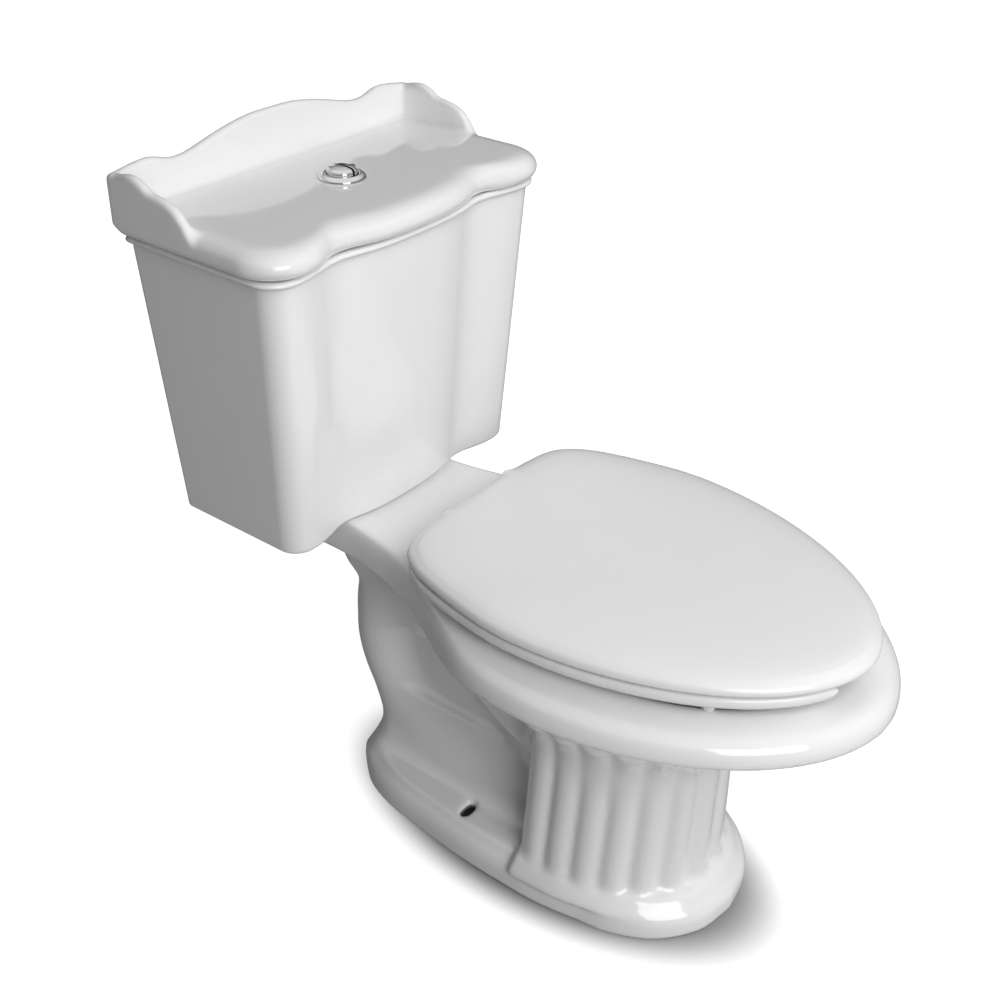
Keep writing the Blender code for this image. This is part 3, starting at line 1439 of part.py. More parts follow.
def make_button(chrome, plastic, metal):
    """The bezel in the lid, its nut, and the two half-round buttons with push rods and springs."""
    seat = place(0, BUTTON_DEPTH, TRAY_TOP + FIT_GAP)
    wall = BEZEL_BARREL_RADIUS - BEZEL_BORE
    profile = [
        (0, -BEZEL_LENGTH),
        (BEZEL_BARREL_RADIUS, -BEZEL_LENGTH),
        (BEZEL_BARREL_RADIUS, 0),
        (BEZEL_RADIUS, 0),
        (BEZEL_RADIUS - wall / 2, BEZEL_HEIGHT * 0.6),
        (BEZEL_BARREL_RADIUS + wall, BEZEL_HEIGHT),
        (BEZEL_BORE, BEZEL_HEIGHT),
        (BEZEL_BORE, BEZEL_FLOOR - BEZEL_LENGTH),
        (0, BEZEL_FLOOR - BEZEL_LENGTH),
    ]
    bezel = turned("button_bezel", profile, seat, chrome)
    for side in (-1, 1):
        spot = place(side * ROD_OFFSET, ROD_DEPTH, seat.z)
        radius = ROD_RADIUS + ROD_HOLE_CLEARANCE
        cut(bezel, rod(f"rod_hole_{side}", spot, radius, -BEZEL_LENGTH * 2, 0, segments=10))
    under = LID_BASE + LID_HEIGHT - LID_ROOF - FIT_GAP - seat.z
    bore = BEZEL_BARREL_RADIUS + FIT_GAP
    low = under - BEZEL_NUT_HEIGHT
    tube("button_nut", seat, BEZEL_NUT_RADIUS, bore, low, under, plastic, segments=16)
    full_end = VALVE_FLOOR + BRIDGE_HEIGHT + ROCKER_RISE + ROCKER_THICKNESS / 2 + FIT_GAP
    half_end = VALVE_FLOOR + BRIDGE_HEIGHT + HALF_PAD_TOP + FIT_GAP
    for side, label, end in ((1, "full", full_end), (-1, "half", half_end)):
        make_push(side, label, end, seat, chrome, metal)


def make_push(side, label, end, seat, chrome, metal):
    """One half-round button with its rod down to the valve, and its spring."""
    radius = BEZEL_BORE - BUTTON_CLEARANCE
    top = BEZEL_HEIGHT + BUTTON_PROUD
    low = top - BUTTON_HEIGHT - BUTTON_CROWN
    profile = [
        (0, low),
        (radius, low),
        (radius, top - BUTTON_CROWN * 2),
        (radius * 0.85, top - BUTTON_CROWN * 0.7),
        (radius * 0.45, top - BUTTON_CROWN * 0.15),
        (0, top),
    ]
    button = turned(f"{label}_flush_button", profile, seat, chrome)
    keep = BUTTON_SPLIT / 2
    limit = radius * 2
    away = [
        (side * keep, BUTTON_DEPTH - limit),
        (side * keep, BUTTON_DEPTH + limit),
        (-side * limit, BUTTON_DEPTH + limit),
        (-side * limit, BUTTON_DEPTH - limit),
    ]
    cut(button, prism(f"{label}_half_cut", away, seat.z - limit * 2, seat.z + limit))
    spot = place(side * ROD_OFFSET, ROD_DEPTH, seat.z)
    add(button, rod(f"{label}_rod", spot, ROD_RADIUS, end - seat.z, low + BUTTON_CROWN, segments=10))
    coil(f"{label}_button_spring", spot, BEZEL_FLOOR - BEZEL_LENGTH + FIT_GAP, low - FIT_GAP, metal)


def coil(name, centre, bottom, top, metal):
    """A spring of round wire round a push rod."""
    steps = SPRING_TURNS * SPRING_STEPS
    shape = []
    rise = top - bottom - SPRING_WIRE * 2
    for i in range(steps + 1):
        turn = math.tau * i / SPRING_STEPS
        outward = Vector((math.cos(turn), math.sin(turn), 0))
        middle = centre + outward * SPRING_RADIUS + Vector((0, 0, bottom + SPRING_WIRE + rise * i / steps))
        ring = []
        for k in range(SPRING_SIDES):
            angle = math.tau * k / SPRING_SIDES
            spoke = outward * math.cos(angle) + Vector((0, 0, math.sin(angle)))
            ring.append(middle + spoke * SPRING_WIRE)
        shape.append(ring)
    return loft(name, shape, metal)


# Fill valve, with heights counted from the top of its washer on the tank's floor

def fill_point(across, height):
    """World place of a point of the fill valve, given across from its own centre."""
    return place(across - FILL_OFFSET, FILL_DEPTH, TANK_INSIDE + FIT_GAP * 2 + FILL_WASHER + height)


def hose_end():
    """Foot of the nipple on the flush valve's bridge that holds the refill hose."""
    return valve_point(-POST_OFFSET + POST_RADIUS, VALVE_DEPTH + BRIDGE_REAR, BRIDGE_HEIGHT)


def make_fill_valve(plastic, rubber, grey):
    """The fill valve: shank and riser, washer and nut, cap, float, lever arm and refill hose."""
    foot = fill_point(0, 0)
    profile = [
        (SHANK_BORE, -SHANK_LENGTH),
        (SHANK_RADIUS, -SHANK_LENGTH),
        (SHANK_RADIUS, 0),
        (FILL_WASHER_RADIUS, 0),
        (FILL_WASHER_RADIUS, VALVE_FLANGE),
        (RISER_RADIUS, VALVE_FLANGE + FLOAT_STOP_HEIGHT),
        (RISER_RADIUS, FLOAT_LOW - FLOAT_STOP_HEIGHT - FIT_GAP),
        (FLOAT_STOP_RADIUS, FLOAT_LOW - FLOAT_STOP_HEIGHT - FIT_GAP),
        (FLOAT_STOP_RADIUS, FLOAT_LOW - FIT_GAP),
        (RISER_RADIUS, FLOAT_LOW - FIT_GAP),
        (RISER_RADIUS, RISER_TOP),
        (SHANK_BORE, RISER_TOP),
    ]
    turned("fill_valve_body", profile, foot, plastic, segments=16)
    bore = SHANK_RADIUS + FIT_GAP
    low = -FIT_GAP - FILL_WASHER
    tube("fill_valve_washer", foot, FILL_WASHER_RADIUS, bore, low, -FIT_GAP, rubber, segments=16)
    under = TANK_BASE - FIT_GAP - foot.z
    tube("fill_valve_nut", foot, FILL_NUT_RADIUS, bore, under - FILL_NUT_HEIGHT, under, plastic, segments=8)
    cap_base = RISER_TOP + FIT_GAP
    cap_top = cap_base + FILL_CAP_HEIGHT
    cap = turned("fill_valve_cap", [
        (0, cap_base),
        (FILL_CAP_RADIUS, cap_base),
        (FILL_CAP_RADIUS, cap_top - FLOAT_ARM_THICKNESS),
        (FILL_CAP_RADIUS - FLOAT_ARM_THICKNESS, cap_top),
        (0, cap_top),
    ], foot, grey, segments=16)
    pivot = fill_point(-FLOAT_PIVOT_OFFSET, cap_top + FLOAT_ARM_RISE)
    arm_half = FLOAT_ARM_HALF_WIDTH
    for side in (-1, 1):
        ear = FILL_DEPTH + side * (arm_half + FLOAT_ARM_THICKNESS / 2 + FIT_GAP)
        add(cap, box(
            f"cap_ear_{side}",
            place(pivot.x, ear, pivot.z - FLOAT_ARM_RISE / 2 - FIT_GAP),
            (FLOAT_ARM_THICKNESS * 2, FLOAT_ARM_THICKNESS, FLOAT_ARM_RISE + FLOAT_ARM_THICKNESS * 2),
        ))
    pin = FLOAT_ROD_RADIUS
    cut(cap, crosswise("cap_pin_hole", pivot, pin + FIT_GAP, arm_half * 3, 10))
    nipple = hose_start()
    add(cap, rod("hose_nipple_high", nipple, NIPPLE_RADIUS, -FLOAT_ARM_THICKNESS, NIPPLE_LENGTH, segments=8))
    far = FLOAT_PIVOT_OFFSET + FLOAT_ROD_OFFSET + FLOAT_ARM_TIP
    middle = pivot + Vector((far / 2, 0, 0))
    arm = box("float_arm", middle, (far + FLOAT_ARM_TIP, arm_half * 2, FLOAT_ARM_THICKNESS), grey)
    add(arm, crosswise("arm_pin", pivot, pin, arm_half + FLOAT_ARM_THICKNESS, 10))
    bore = RISER_RADIUS + FLOAT_BORE_CLEARANCE
    high = FLOAT_LOW + FLOAT_HEIGHT
    profile = [
        (bore, FLOAT_LOW),
        (bore + FLOAT_WALL, FLOAT_LOW),
        (bore + FLOAT_WALL, high - FLOAT_WALL),
        (FLOAT_RADIUS - FLOAT_WALL, high - FLOAT_WALL),
        (FLOAT_RADIUS - FLOAT_WALL, FLOAT_LOW),
        (FLOAT_RADIUS, FLOAT_LOW),
        (FLOAT_RADIUS, high),
        (bore, high),
    ]
    floating = turned("fill_valve_float", profile, foot, grey)
    rod_end = cap_top + FLOAT_ARM_RISE - FLOAT_ARM_THICKNESS / 2 - FIT_GAP
    post = fill_point(FLOAT_ROD_OFFSET, 0)
    add(floating, rod("float_rod", post, FLOAT_ROD_RADIUS, high - FLOAT_WALL / 2, rod_end, segments=8))
    make_hose(rubber)


def box(name, middle, size, surface=None):
    """A plain block about its middle."""
    half = Vector(size) / 2
    corners = [(-1, -1), (1, -1), (1, 1), (-1, 1)]
    rings = [
        [middle + Vector((half.x * x, half.y * y, half.z * z)) for x, y in corners]
        for z in (-1, 1)
    ]
    return loft(name, rings, surface)


def crosswise(name, centre, radius, reach, segments):
    """A round bar along the toilet's depth."""
    rings = []
    for end in (-1, 1):
        angles = [math.tau * k / segments for k in range(segments)]
        rings.append([
            centre + Vector((radius * math.cos(angle), end * reach, radius * math.sin(angle)))
            for angle in angles
        ])
    return loft(name, rings)


def hose_start():
    """Foot of the nipple on the fill valve's cap."""
    return fill_point(0, RISER_TOP + FIT_GAP + FILL_CAP_HEIGHT) + Vector((0, FILL_CAP_RADIUS * 0.55, 0))


def make_hose(rubber):
    """The refill hose from the fill valve's cap, behind the float's arm, to the flush valve's bridge."""
    start = hose_start() + Vector((0, 0, FIT_GAP * 3))
    end = hose_end() + Vector((0, 0, FIT_GAP * 3))
    up = Vector((0, 0, HOSE_RISE))
    over = Vector((end.x - start.x, end.y - start.y, 0))
    aside = Vector((over.x, 0, 0))
    knots = [
        start,
        start + up * 0.7,
        start + up,
        start + aside * 0.2 + up * 1.15,
        start + aside * 0.55 + up * 0.6,
        start + over * 0.88 - up,
        end + up * 2,
        end + up * 0.7,
        end,
    ]
    points = [Vector(point) for point in smooth([tuple(knot) for knot in knots], 2)]
    swept("refill_hose", points, HOSE_RADIUS, NIPPLE_RADIUS + HOSE_BORE_CLEARANCE, rubber, segments=8)


def set_joint_origins():
    """Puts each moving piece's origin on the axis that it turns about or slides along."""
    hinge = place(0, HINGE_DEPTH, HINGE_HEIGHT)
    rocker = valve_point(0, ROCKER_PIVOT, BRIDGE_HEIGHT + ROCKER_RISE)
    arm = fill_point(-FLOAT_PIVOT_OFFSET, RISER_TOP + FIT_GAP + FILL_CAP_HEIGHT + FLOAT_ARM_RISE)
    lift = place(0, BUTTON_DEPTH, TRAY_TOP)
    rods = [place(side * ROD_OFFSET, ROD_DEPTH, TRAY_TOP) for side in (1, -1)]
    stem = valve_point(0, VALVE_DEPTH, BRIDGE_HEIGHT)
    for point, names in (
        (hinge, ("seat", "seat_cover")),
        (hinge, ("seat_bumper_front_left", "seat_bumper_front_right")),
        (hinge, ("seat_bumper_rear_left", "seat_bumper_rear_right")),
        (hinge, ("cover_bumper_left", "cover_bumper_right")),
        (rocker, ("flush_rocker",)),
        (arm, ("float_arm",)),
        (lift, ("tank_lid", "button_bezel", "button_nut")),
        (rods[0], ("full_flush_button", "full_button_spring")),
        (rods[1], ("half_flush_button", "half_button_spring", "half_flush_float")),
        (stem, ("flush_plug", "plug_seal")),
        (fill_point(0, FLOAT_LOW), ("fill_valve_float",)),
    ):
        for name in names:
            set_origin(bpy.data.objects[name], point)


def main():
    for item in list(bpy.data.objects):
        bpy.data.objects.remove(item)
    china = material("china", (0.84, 0.84, 0.84), 0.08)
    seat_plastic = material("seat_plastic", (0.82, 0.82, 0.82), 0.22)
    rubber = material("rubber", (0.06, 0.06, 0.06), 0.8)
    brass = material("brass", (0.72, 0.55, 0.28), 0.3, 1.0)
    valve_plastic = material("valve_plastic", (0.75, 0.76, 0.78), 0.45)
    grey_plastic = material("grey_plastic", (0.30, 0.32, 0.35), 0.5)
    chrome = material("chrome", (0.80, 0.80, 0.82), 0.08, 1.0)
    steel = material("steel", (0.60, 0.60, 0.62), 0.3, 1.0)
    make_bowl(china)
    make_tank(china)
    make_lid(china)
    make_seat(seat_plastic)
    make_cover(seat_plastic)
    for side, label in ((-1, "left"), (1, "right")):
        make_hinge(side, label, seat_plastic, steel)
    make_bumpers(rubber)
    make_tank_joint(rubber, brass)
    make_flush_valve(valve_plastic, rubber, steel)
    make_button(chrome, valve_plastic, steel)
    make_fill_valve(valve_plastic, rubber, grey_plastic)
    set_joint_origins()


if __name__ == "__main__":
    main()
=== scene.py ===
"""A close-coupled toilet in glazed white china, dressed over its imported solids.

Plans are lists of (across, depth) in metres: across is X, and depth counts forwards from the wall side
of the tank lid, so that world Y is WALL_Y minus depth. Heights are world Z.
"""

import logging
import math
from dataclasses import dataclass
from enum import Enum
from typing import Any, Iterable, Sequence

import bmesh
import bpy
import numpy as np
import openvdb
from mathutils import Matrix, Vector


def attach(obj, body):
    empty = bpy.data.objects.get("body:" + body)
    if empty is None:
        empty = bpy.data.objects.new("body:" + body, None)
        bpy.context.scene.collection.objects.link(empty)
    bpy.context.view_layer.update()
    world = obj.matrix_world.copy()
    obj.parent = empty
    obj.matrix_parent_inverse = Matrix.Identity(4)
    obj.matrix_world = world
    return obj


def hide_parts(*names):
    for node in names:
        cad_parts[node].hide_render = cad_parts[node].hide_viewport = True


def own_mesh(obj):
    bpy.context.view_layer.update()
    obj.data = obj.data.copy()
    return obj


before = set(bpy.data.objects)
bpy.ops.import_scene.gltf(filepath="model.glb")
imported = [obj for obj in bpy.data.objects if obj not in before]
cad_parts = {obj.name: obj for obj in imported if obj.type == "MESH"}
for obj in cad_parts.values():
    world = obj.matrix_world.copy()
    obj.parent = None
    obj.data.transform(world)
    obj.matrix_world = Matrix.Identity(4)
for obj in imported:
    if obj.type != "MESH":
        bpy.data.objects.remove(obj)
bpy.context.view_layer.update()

LOG = logging.getLogger("toilet")
MM = 0.001
WALL_Y = 0.400
DECK_TOP = 0.376
BAND_BOTTOM = 0.330
SAME_POINT = 1e-7
POLE_RADIUS = 1e-5
CAP_MARK = 2
WHITE = (1, 1, 1, 1)

Plan = np.ndarray
Shell = tuple[np.ndarray, np.ndarray]
Rows = tuple[tuple[float, ...], ...]
Tree = bpy.types.NodeTree
Socket = bpy.types.NodeSocket
Sizes = dict[str, float | int]


class Side(Enum):
    """The two sides of the toilet, as someone facing its front sees them."""

    LEFT = -1
    RIGHT = 1


class Axis(Enum):
    """The axis that a turned shape spins about."""

    UP = "Z"
    ACROSS = "X"


# Curves and plans


def through(points: Sequence[Sequence[float]], steps: int) -> np.ndarray:
    """Draws a smooth open curve through points.

    Args:
        points: The points it passes, two or three numbers each.
        steps: How many points it gets for each stretch.

    Returns:
        The curve's points, one row each.
    """
    given = np.asarray(points, float)
    before = np.vstack([given[:1], given, given[-1:]])
    rows = []
    for i in range(len(given) - 1):
        a, b, c, d = before[i : i + 4]
        t = (np.arange(steps) / steps)[:, None]
        rows.append(
            0.5 * (2 * b + (c - a) * t + (2 * a - 5 * b + 4 * c - d) * t**2 + (3 * b - a - 3 * c + d) * t**3)
        )
    return np.vstack(rows + [given[-1:]])


def arc(
    centre: tuple[float, float], radius: float, start: float, end: float, steps: int = 12
) -> np.ndarray:
    """Points of an arc in plan.

    Args:
        centre: Its centre.
        radius: Its radius.
        start: First angle, in degrees from +X towards greater depth.
        end: Last angle.
        steps: Number of stretches.

    Returns:
        The arc's points.
    """
    angle = np.radians(np.linspace(start, end, steps + 1))
    return np.column_stack([centre[0] + radius * np.cos(angle), centre[1] + radius * np.sin(angle)])


def quarter(half_width: float, centre: float, tip: float, power: float = 2.0, steps: int = 48) -> np.ndarray:
    """A quarter of an egg, from its tip on the axis to its full width.

    Args:
        half_width: Half of the width.
        centre: Depth of the widest line.
        tip: Depth of the tip.
        power: 2 for an ellipse, less for a more pointed egg.
        steps: Number of stretches.

    Returns:
        The quarter's points.
    """
    turn = np.linspace(0, math.pi / 2, steps + 1)
    across = half_width * np.sin(turn) ** (2 / power)
    along = centre + (tip - centre) * np.clip(np.cos(turn), 0, 1) ** (2 / power)
    return np.column_stack([across, along])


def whole(half: np.ndarray, count: int = 360) -> Plan:
    """Mirrors half a plan and spreads its points evenly.

    Args:
        half: Points on the +X side, from the front point on the axis to the rear one.
        count: Number of points of the closed plan.

    Returns:
        The closed plan, whose first point is the front one.
    """
    other = half[::-1] * (-1, 1)
    loop = np.vstack([half, other[1:]])
    step = np.linalg.norm(np.diff(loop, axis=0), axis=1)
    loop = loop[np.concatenate([[True], step > SAME_POINT])]
    length = np.concatenate([[0], np.cumsum(np.linalg.norm(np.diff(loop, axis=0), axis=1))])
    spot = np.linspace(0, length[-1], count, endpoint=False)
    return np.column_stack([np.interp(spot, length, loop[:, k]) for k in (0, 1)])


def egg(half_width: float, front: float, rear: float, centre: float) -> Plan:
    """A closed egg in plan, given its half width, its front and rear depths and its widest depth."""
    rear_half = quarter(half_width, centre, rear)[::-1]
    return whole(np.vstack([quarter(half_width, centre, front), rear_half]))


def grown(plan: Plan, distance: float) -> Plan:
    """Moves a closed plan outwards.

    Args:
        plan: The closed plan.
        distance: How far, inwards where it is negative.

    Returns:
        The moved plan.
    """
    along = np.roll(plan, -1, 0) - np.roll(plan, 1, 0)
    along /= np.linalg.norm(along, axis=1)[:, None]
    after = np.roll(plan, -1, 0)
    area = (plan[:, 0] * after[:, 1] - after[:, 0] * plan[:, 1]).sum()
    outward = np.column_stack([along[:, 1], -along[:, 0]]) * np.sign(area)
    return plan + outward * distance


def level(plan: Plan, height: float) -> np.ndarray:
    """Stands a plan at a height as world points."""
    return np.column_stack([plan[:, 0], WALL_Y - plan[:, 1], np.full(len(plan), height)])


def spot(across: float, depth: float, height: float) -> Vector:
    """World place of a point given across, in depth and in height."""
    return Vector((across, WALL_Y - depth, height))


# Closed shells, as points and triangles


def loft(rings: Sequence[np.ndarray], closed: bool = False) -> Shell:
    """Skins rings of equally many points.

    Args:
        rings: World points of each ring.
        closed: True joins the last ring to the first, and False caps both ends.

    Returns:
        The shell.
    """
    count = len(rings[0])
    points = np.vstack(rings)
    column = np.arange(count)
    after = (column + 1) % count
    faces = []
    pairs = [(i, i + 1) for i in range(len(rings) - 1)] + ([(len(rings) - 1, 0)] if closed else [])
    for low, high in pairs:
        a, b, c, d = low * count + column, low * count + after, high * count + after, high * count + column
        faces += [np.column_stack([a, b, c]), np.column_stack([a, c, d])]
    if not closed:
        ends = np.vstack([rings[0].mean(axis=0), rings[-1].mean(axis=0)])
        low, high = len(points), len(points) + 1
        top = (len(rings) - 1) * count
        faces.append(np.column_stack([after, column, np.full(count, low)]))
        faces.append(np.column_stack([top + column, top + after, np.full(count, high)]))
        points = np.vstack([points, ends])
    return points, np.vstack(faces)


def prism(plan: Plan, bottom: float, top: float) -> Shell:
    """A plan drawn upwards between two heights."""
    return loft([level(plan, bottom), level(plan, top)])


def cross_block(outline: Sequence[tuple[float, float]], left: float, right: float) -> Shell:
    """An outline of (depth, height) points drawn across between two places."""
    ring = np.array([(0.0, WALL_Y - depth, height) for depth, height in outline])
    return loft([ring + (left, 0, 0), ring + (right, 0, 0)])


def pipe(path: np.ndarray, half_width: float, half_height: float, count: int = 48) -> Shell:
    """An oval bar along a path in the toilet's middle plane.

    Args:
        path: Points of (depth, height).
        half_width: Its half width across.
        half_height: Its half height, square to the path.
        count: Points round it.

    Returns:
        The shell.
    """
    ahead = np.gradient(path, axis=0)
    ahead /= np.linalg.norm(ahead, axis=1)[:, None]
    turn = np.linspace(0, math.tau, count, endpoint=False)
    rings = []
    for (depth, height), (du, dz) in zip(path, ahead):
        rise = half_height * np.sin(turn)
        rings.append(
            np.column_stack([half_width * np.cos(turn), WALL_Y - (depth - dz * rise), height + du * rise])
        )
    return loft(rings)


def turned(
    profile: Sequence[tuple[float, float]], centre: Vector, count: int = 64, axis: Axis = Axis.UP
) -> Shell:
    """Spins a closed profile about an axis.

    Args:
        profile: Points of (radius, distance along the axis).
        centre: The axis's zero point.
        count: Points round it.
        axis: Which way the axis runs.

    Returns:
        The shell.
    """
    turn = np.linspace(0, math.tau, count, endpoint=False)
    rings = []
    for radius, distance in profile:
        radius = max(radius, POLE_RADIUS)
        ring = np.column_stack([radius * np.cos(turn), radius * np.sin(turn), np.full(count, distance)])
        if axis is Axis.ACROSS:
            ring = ring[:, [2, 0, 1]]
        rings.append(ring + np.array(centre))
    return loft(rings, closed=True)


# Distance fields, which let shapes flow into each other as cast slip does


def joined(first: np.ndarray, second: np.ndarray, fillet: float = 0.0) -> np.ndarray:
    """Distances to two shapes made one.

    Args:
        first: Distances to one shape.
        second: Distances to the other.
        fillet: Radius of the hollow where they meet.

    Returns:
        The distances to both.
    """
    nearer = np.minimum(first, second)
    if fillet <= 0:
        return nearer
    overlap = np.hypot(np.maximum(fillet - first, 0), np.maximum(fillet - second, 0))
    return np.maximum(fillet, nearer) - overlap


def cleared(first: np.ndarray, second: np.ndarray, edge: float = 0.0) -> np.ndarray:
    """Distances to the first shape with the second taken out, its new edges rounded to a radius."""
    return -joined(-first, second, edge)


@dataclass
class Field:
    """An even grid of distances round a piece, known as far as its reach, with spare cells at its border."""

    low: tuple[float, float, float]
    high: tuple[float, float, float]
    step: float
    reach: float = 0.030
    border: int = 4

    def __post_init__(self) -> None:
        """Sets the grid's corner, size and transform."""
        self.corner = np.array(self.low) - self.border * self.step
        cells = np.ceil((np.array(self.high) - self.corner) / self.step) + self.border + 1
        self.shape = tuple(int(n) for n in cells)
        self.transform = openvdb.createLinearTransform(voxelSize=self.step)

    def of(self, shell: Shell) -> np.ndarray:
        """Distances to a closed shell, negative inside.

        Args:
            shell: Its points and triangles.

        Returns:
            One distance for each grid point.
        """
        points, faces = shell
        band = self.reach / self.step
        grid = openvdb.FloatGrid.createLevelSetFromPolygons(
            np.ascontiguousarray(points - self.corner, np.float32),
            triangles=np.ascontiguousarray(faces, np.uint32),
            transform=self.transform,
            exBandWidth=band,
            inBandWidth=band,
        )
        values = np.full(self.shape, self.reach, np.float32)
        grid.copyToArray(values, ijk=(0, 0, 0))
        return values

    def axis(self, index: int) -> np.ndarray:
        """World coordinates of the grid's planes along one axis, shaped to spread over the grid."""
        line = self.corner[index] + np.arange(self.shape[index]) * self.step
        return line.reshape([-1 if k == index else 1 for k in range(3)]).astype(np.float32)

    def skin(self, values: np.ndarray, soften: int = 2) -> tuple[np.ndarray, np.ndarray]:
        """Meshes the surface at distance zero.

        Args:
            values: The distances.
            soften: Passes of a small blur, which round every edge a little.

        Returns:
            World points and four-sided faces that point outwards.
        """
        for _ in range(soften):
            for k in range(3):
                values = (np.roll(values, 1, k) + np.roll(values, -1, k) + 2 * values) / 4
        grid = openvdb.FloatGrid(self.reach)
        grid.copyFromArray(np.ascontiguousarray(values, np.float32), ijk=(0, 0, 0), tolerance=0)
        grid.transform = self.transform
        grid.gridClass = openvdb.GridClass.LEVEL_SET
        points, _, faces = grid.convertToPolygons(isovalue=0.0, adaptivity=0.0)
        return points + self.corner, faces[:, ::-1].astype(np.int32)


def mesh_object(name: str, points: np.ndarray, faces: np.ndarray) -> bpy.types.Object:
    """Makes a smooth-shaded object from points and faces, with its own origin at the world's.

    Args:
        name: The piece's name.
        points: World points.
        faces: Corner numbers of each face.

    Returns:
        The new object.
    """
    mesh = bpy.data.meshes.new(name)
    mesh.from_pydata(np.asarray(points).tolist(), [], np.asarray(faces).tolist())
    mesh.shade_smooth()
    made = bpy.data.objects.new(name, mesh)
    bpy.context.scene.collection.objects.link(made)
    return made


def split_at(
    name: str, points: np.ndarray, faces: np.ndarray, height: float, marked: np.ndarray
) -> list[bpy.types.Object]:
    """Parts a big mesh at a height into two closed pieces that shade as one.

    A flat cap closes each piece. Every other corner keeps the normal that the whole mesh has there.

    Args:
        name: The pieces' name, to which _upper and _lower are added.
        points: World points.
        faces: Four-sided faces.
        height: Where they part.
        marked: True for each face that gets the second material.

    Returns:
        The upper and the lower piece.
    """
    pieces = []
    for word, side in (("upper", 1), ("lower", -1)):
        made = mesh_object(f"{name}_{word}", points, faces)
        made.data.polygons.foreach_set("material_index", marked.astype(np.int32))
        shape = bmesh.new()
        shape.from_mesh(made.data)
        normal = shape.verts.layers.float_vector.new("whole_normal")
        for vert in shape.verts:
            vert[normal] = vert.normal
        cut = bmesh.ops.bisect_plane(
            shape,
            geom=shape.verts[:] + shape.edges[:] + shape.faces[:],
            plane_co=(0, 0, height),
            plane_no=(0, 0, side),
            clear_inner=True,
        )
        rim = [item for item in cut["geom_cut"] if isinstance(item, bmesh.types.BMEdge)]
        caps = bmesh.ops.triangle_fill(shape, use_beauty=False, edges=rim, normal=(0, 0, -side))["geom"]
        for face in caps:
            if isinstance(face, bmesh.types.BMFace):
                face.smooth = False
                face.material_index = CAP_MARK
                if face.normal.z * side > 0:
                    face.normal_flip()
        shape.to_mesh(made.data)
        shape.free()
        mesh = made.data
        stored = np.empty(len(mesh.vertices) * 3, np.float32)
        mesh.attributes["whole_normal"].data.foreach_get("vector", stored)
        corner_vert = np.empty(len(mesh.loops), np.int32)
        mesh.loops.foreach_get("vertex_index", corner_vert)
        normals = stored.reshape(-1, 3)[corner_vert]
        for face in mesh.polygons:
            if face.material_index == CAP_MARK:
                normals[face.loop_start : face.loop_start + face.loop_total] = face.normal
                face.material_index = 0
        mesh.attributes.remove(mesh.attributes["whole_normal"])
        mesh.normals_split_custom_set(normals.tolist())
        pieces.append(made)
    return pieces


# Node trees


def node(tree: Tree, kind: str, inputs: dict[Any, Any] | None = None, **settings: Any) -> bpy.types.Node:
    """Adds a node with its settings and links.

    Args:
        tree: The tree that it joins.
        kind: Its type name.
        inputs: A value, or another node's output, for each input name or number.
        settings: Its own properties.

    Returns:
        The node.
    """
    made = tree.nodes.new(kind)
    for key, value in settings.items():
        setattr(made, key, value)
    for key, value in (inputs or {}).items():
        if isinstance(value, Socket):
            tree.links.new(value, made.inputs[key])
        else:
            made.inputs[key].default_value = value
    return made


def worked(tree: Tree, operation: str, *values: Any) -> Socket:
    """Adds a math node on its values and gives its result."""
    return node(tree, "ShaderNodeMath", dict(enumerate(values)), operation=operation).outputs[0]


def vector_of(tree: Tree, x: Any = 0.0, y: Any = 0.0, z: Any = 0.0) -> Socket:
    """Adds a node that makes a vector of three values and gives that vector."""
    return node(tree, "ShaderNodeCombineXYZ", {"X": x, "Y": y, "Z": z}).outputs[0]


def blended(tree: Tree, share: Any, first: Any, second: Any) -> Socket:
    """Adds a node that runs from the first colour to the second with a share and gives the mixed colour."""
    return node(tree, "ShaderNodeMix", {"Factor": share, 6: first, 7: second}, data_type="RGBA").outputs[2]


def ranged(
    tree: Tree, value: Socket, source: tuple[float, float], target: tuple[float, float], kind: str = "LINEAR"
) -> Socket:
    """Adds a node that takes a value from one range to another and holds it at both ends.

    Args:
        tree: The tree that it joins.
        value: The value.
        source: Low and high end that the value comes from.
        target: What they become.
        kind: How it runs between them.

    Returns:
        The new value.
    """
    ends = {"From Min": source[0], "From Max": source[1], "To Min": target[0], "To Max": target[1]}
    return node(tree, "ShaderNodeMapRange", {"Value": value, **ends}, interpolation_type=kind).outputs[0]


def sized_tree(name: str, sizes: Sizes) -> tuple[Tree, bpy.types.Node]:
    """Starts a geometry tree with named inputs for its sizes.

    Args:
        name: The tree's name.
        sizes: Each input's name and value, a whole number for a count.

    Returns:
        The tree and its input node.
    """
    tree = bpy.data.node_groups.new(name, "GeometryNodeTree")
    tree.interface.new_socket("Geometry", in_out="INPUT", socket_type="NodeSocketGeometry")
    tree.interface.new_socket("Geometry", in_out="OUTPUT", socket_type="NodeSocketGeometry")
    for word, value in sizes.items():
        kind = "NodeSocketInt" if isinstance(value, int) else "NodeSocketFloat"
        tree.interface.new_socket(word, in_out="INPUT", socket_type=kind)
    return tree, node(tree, "NodeGroupInput")


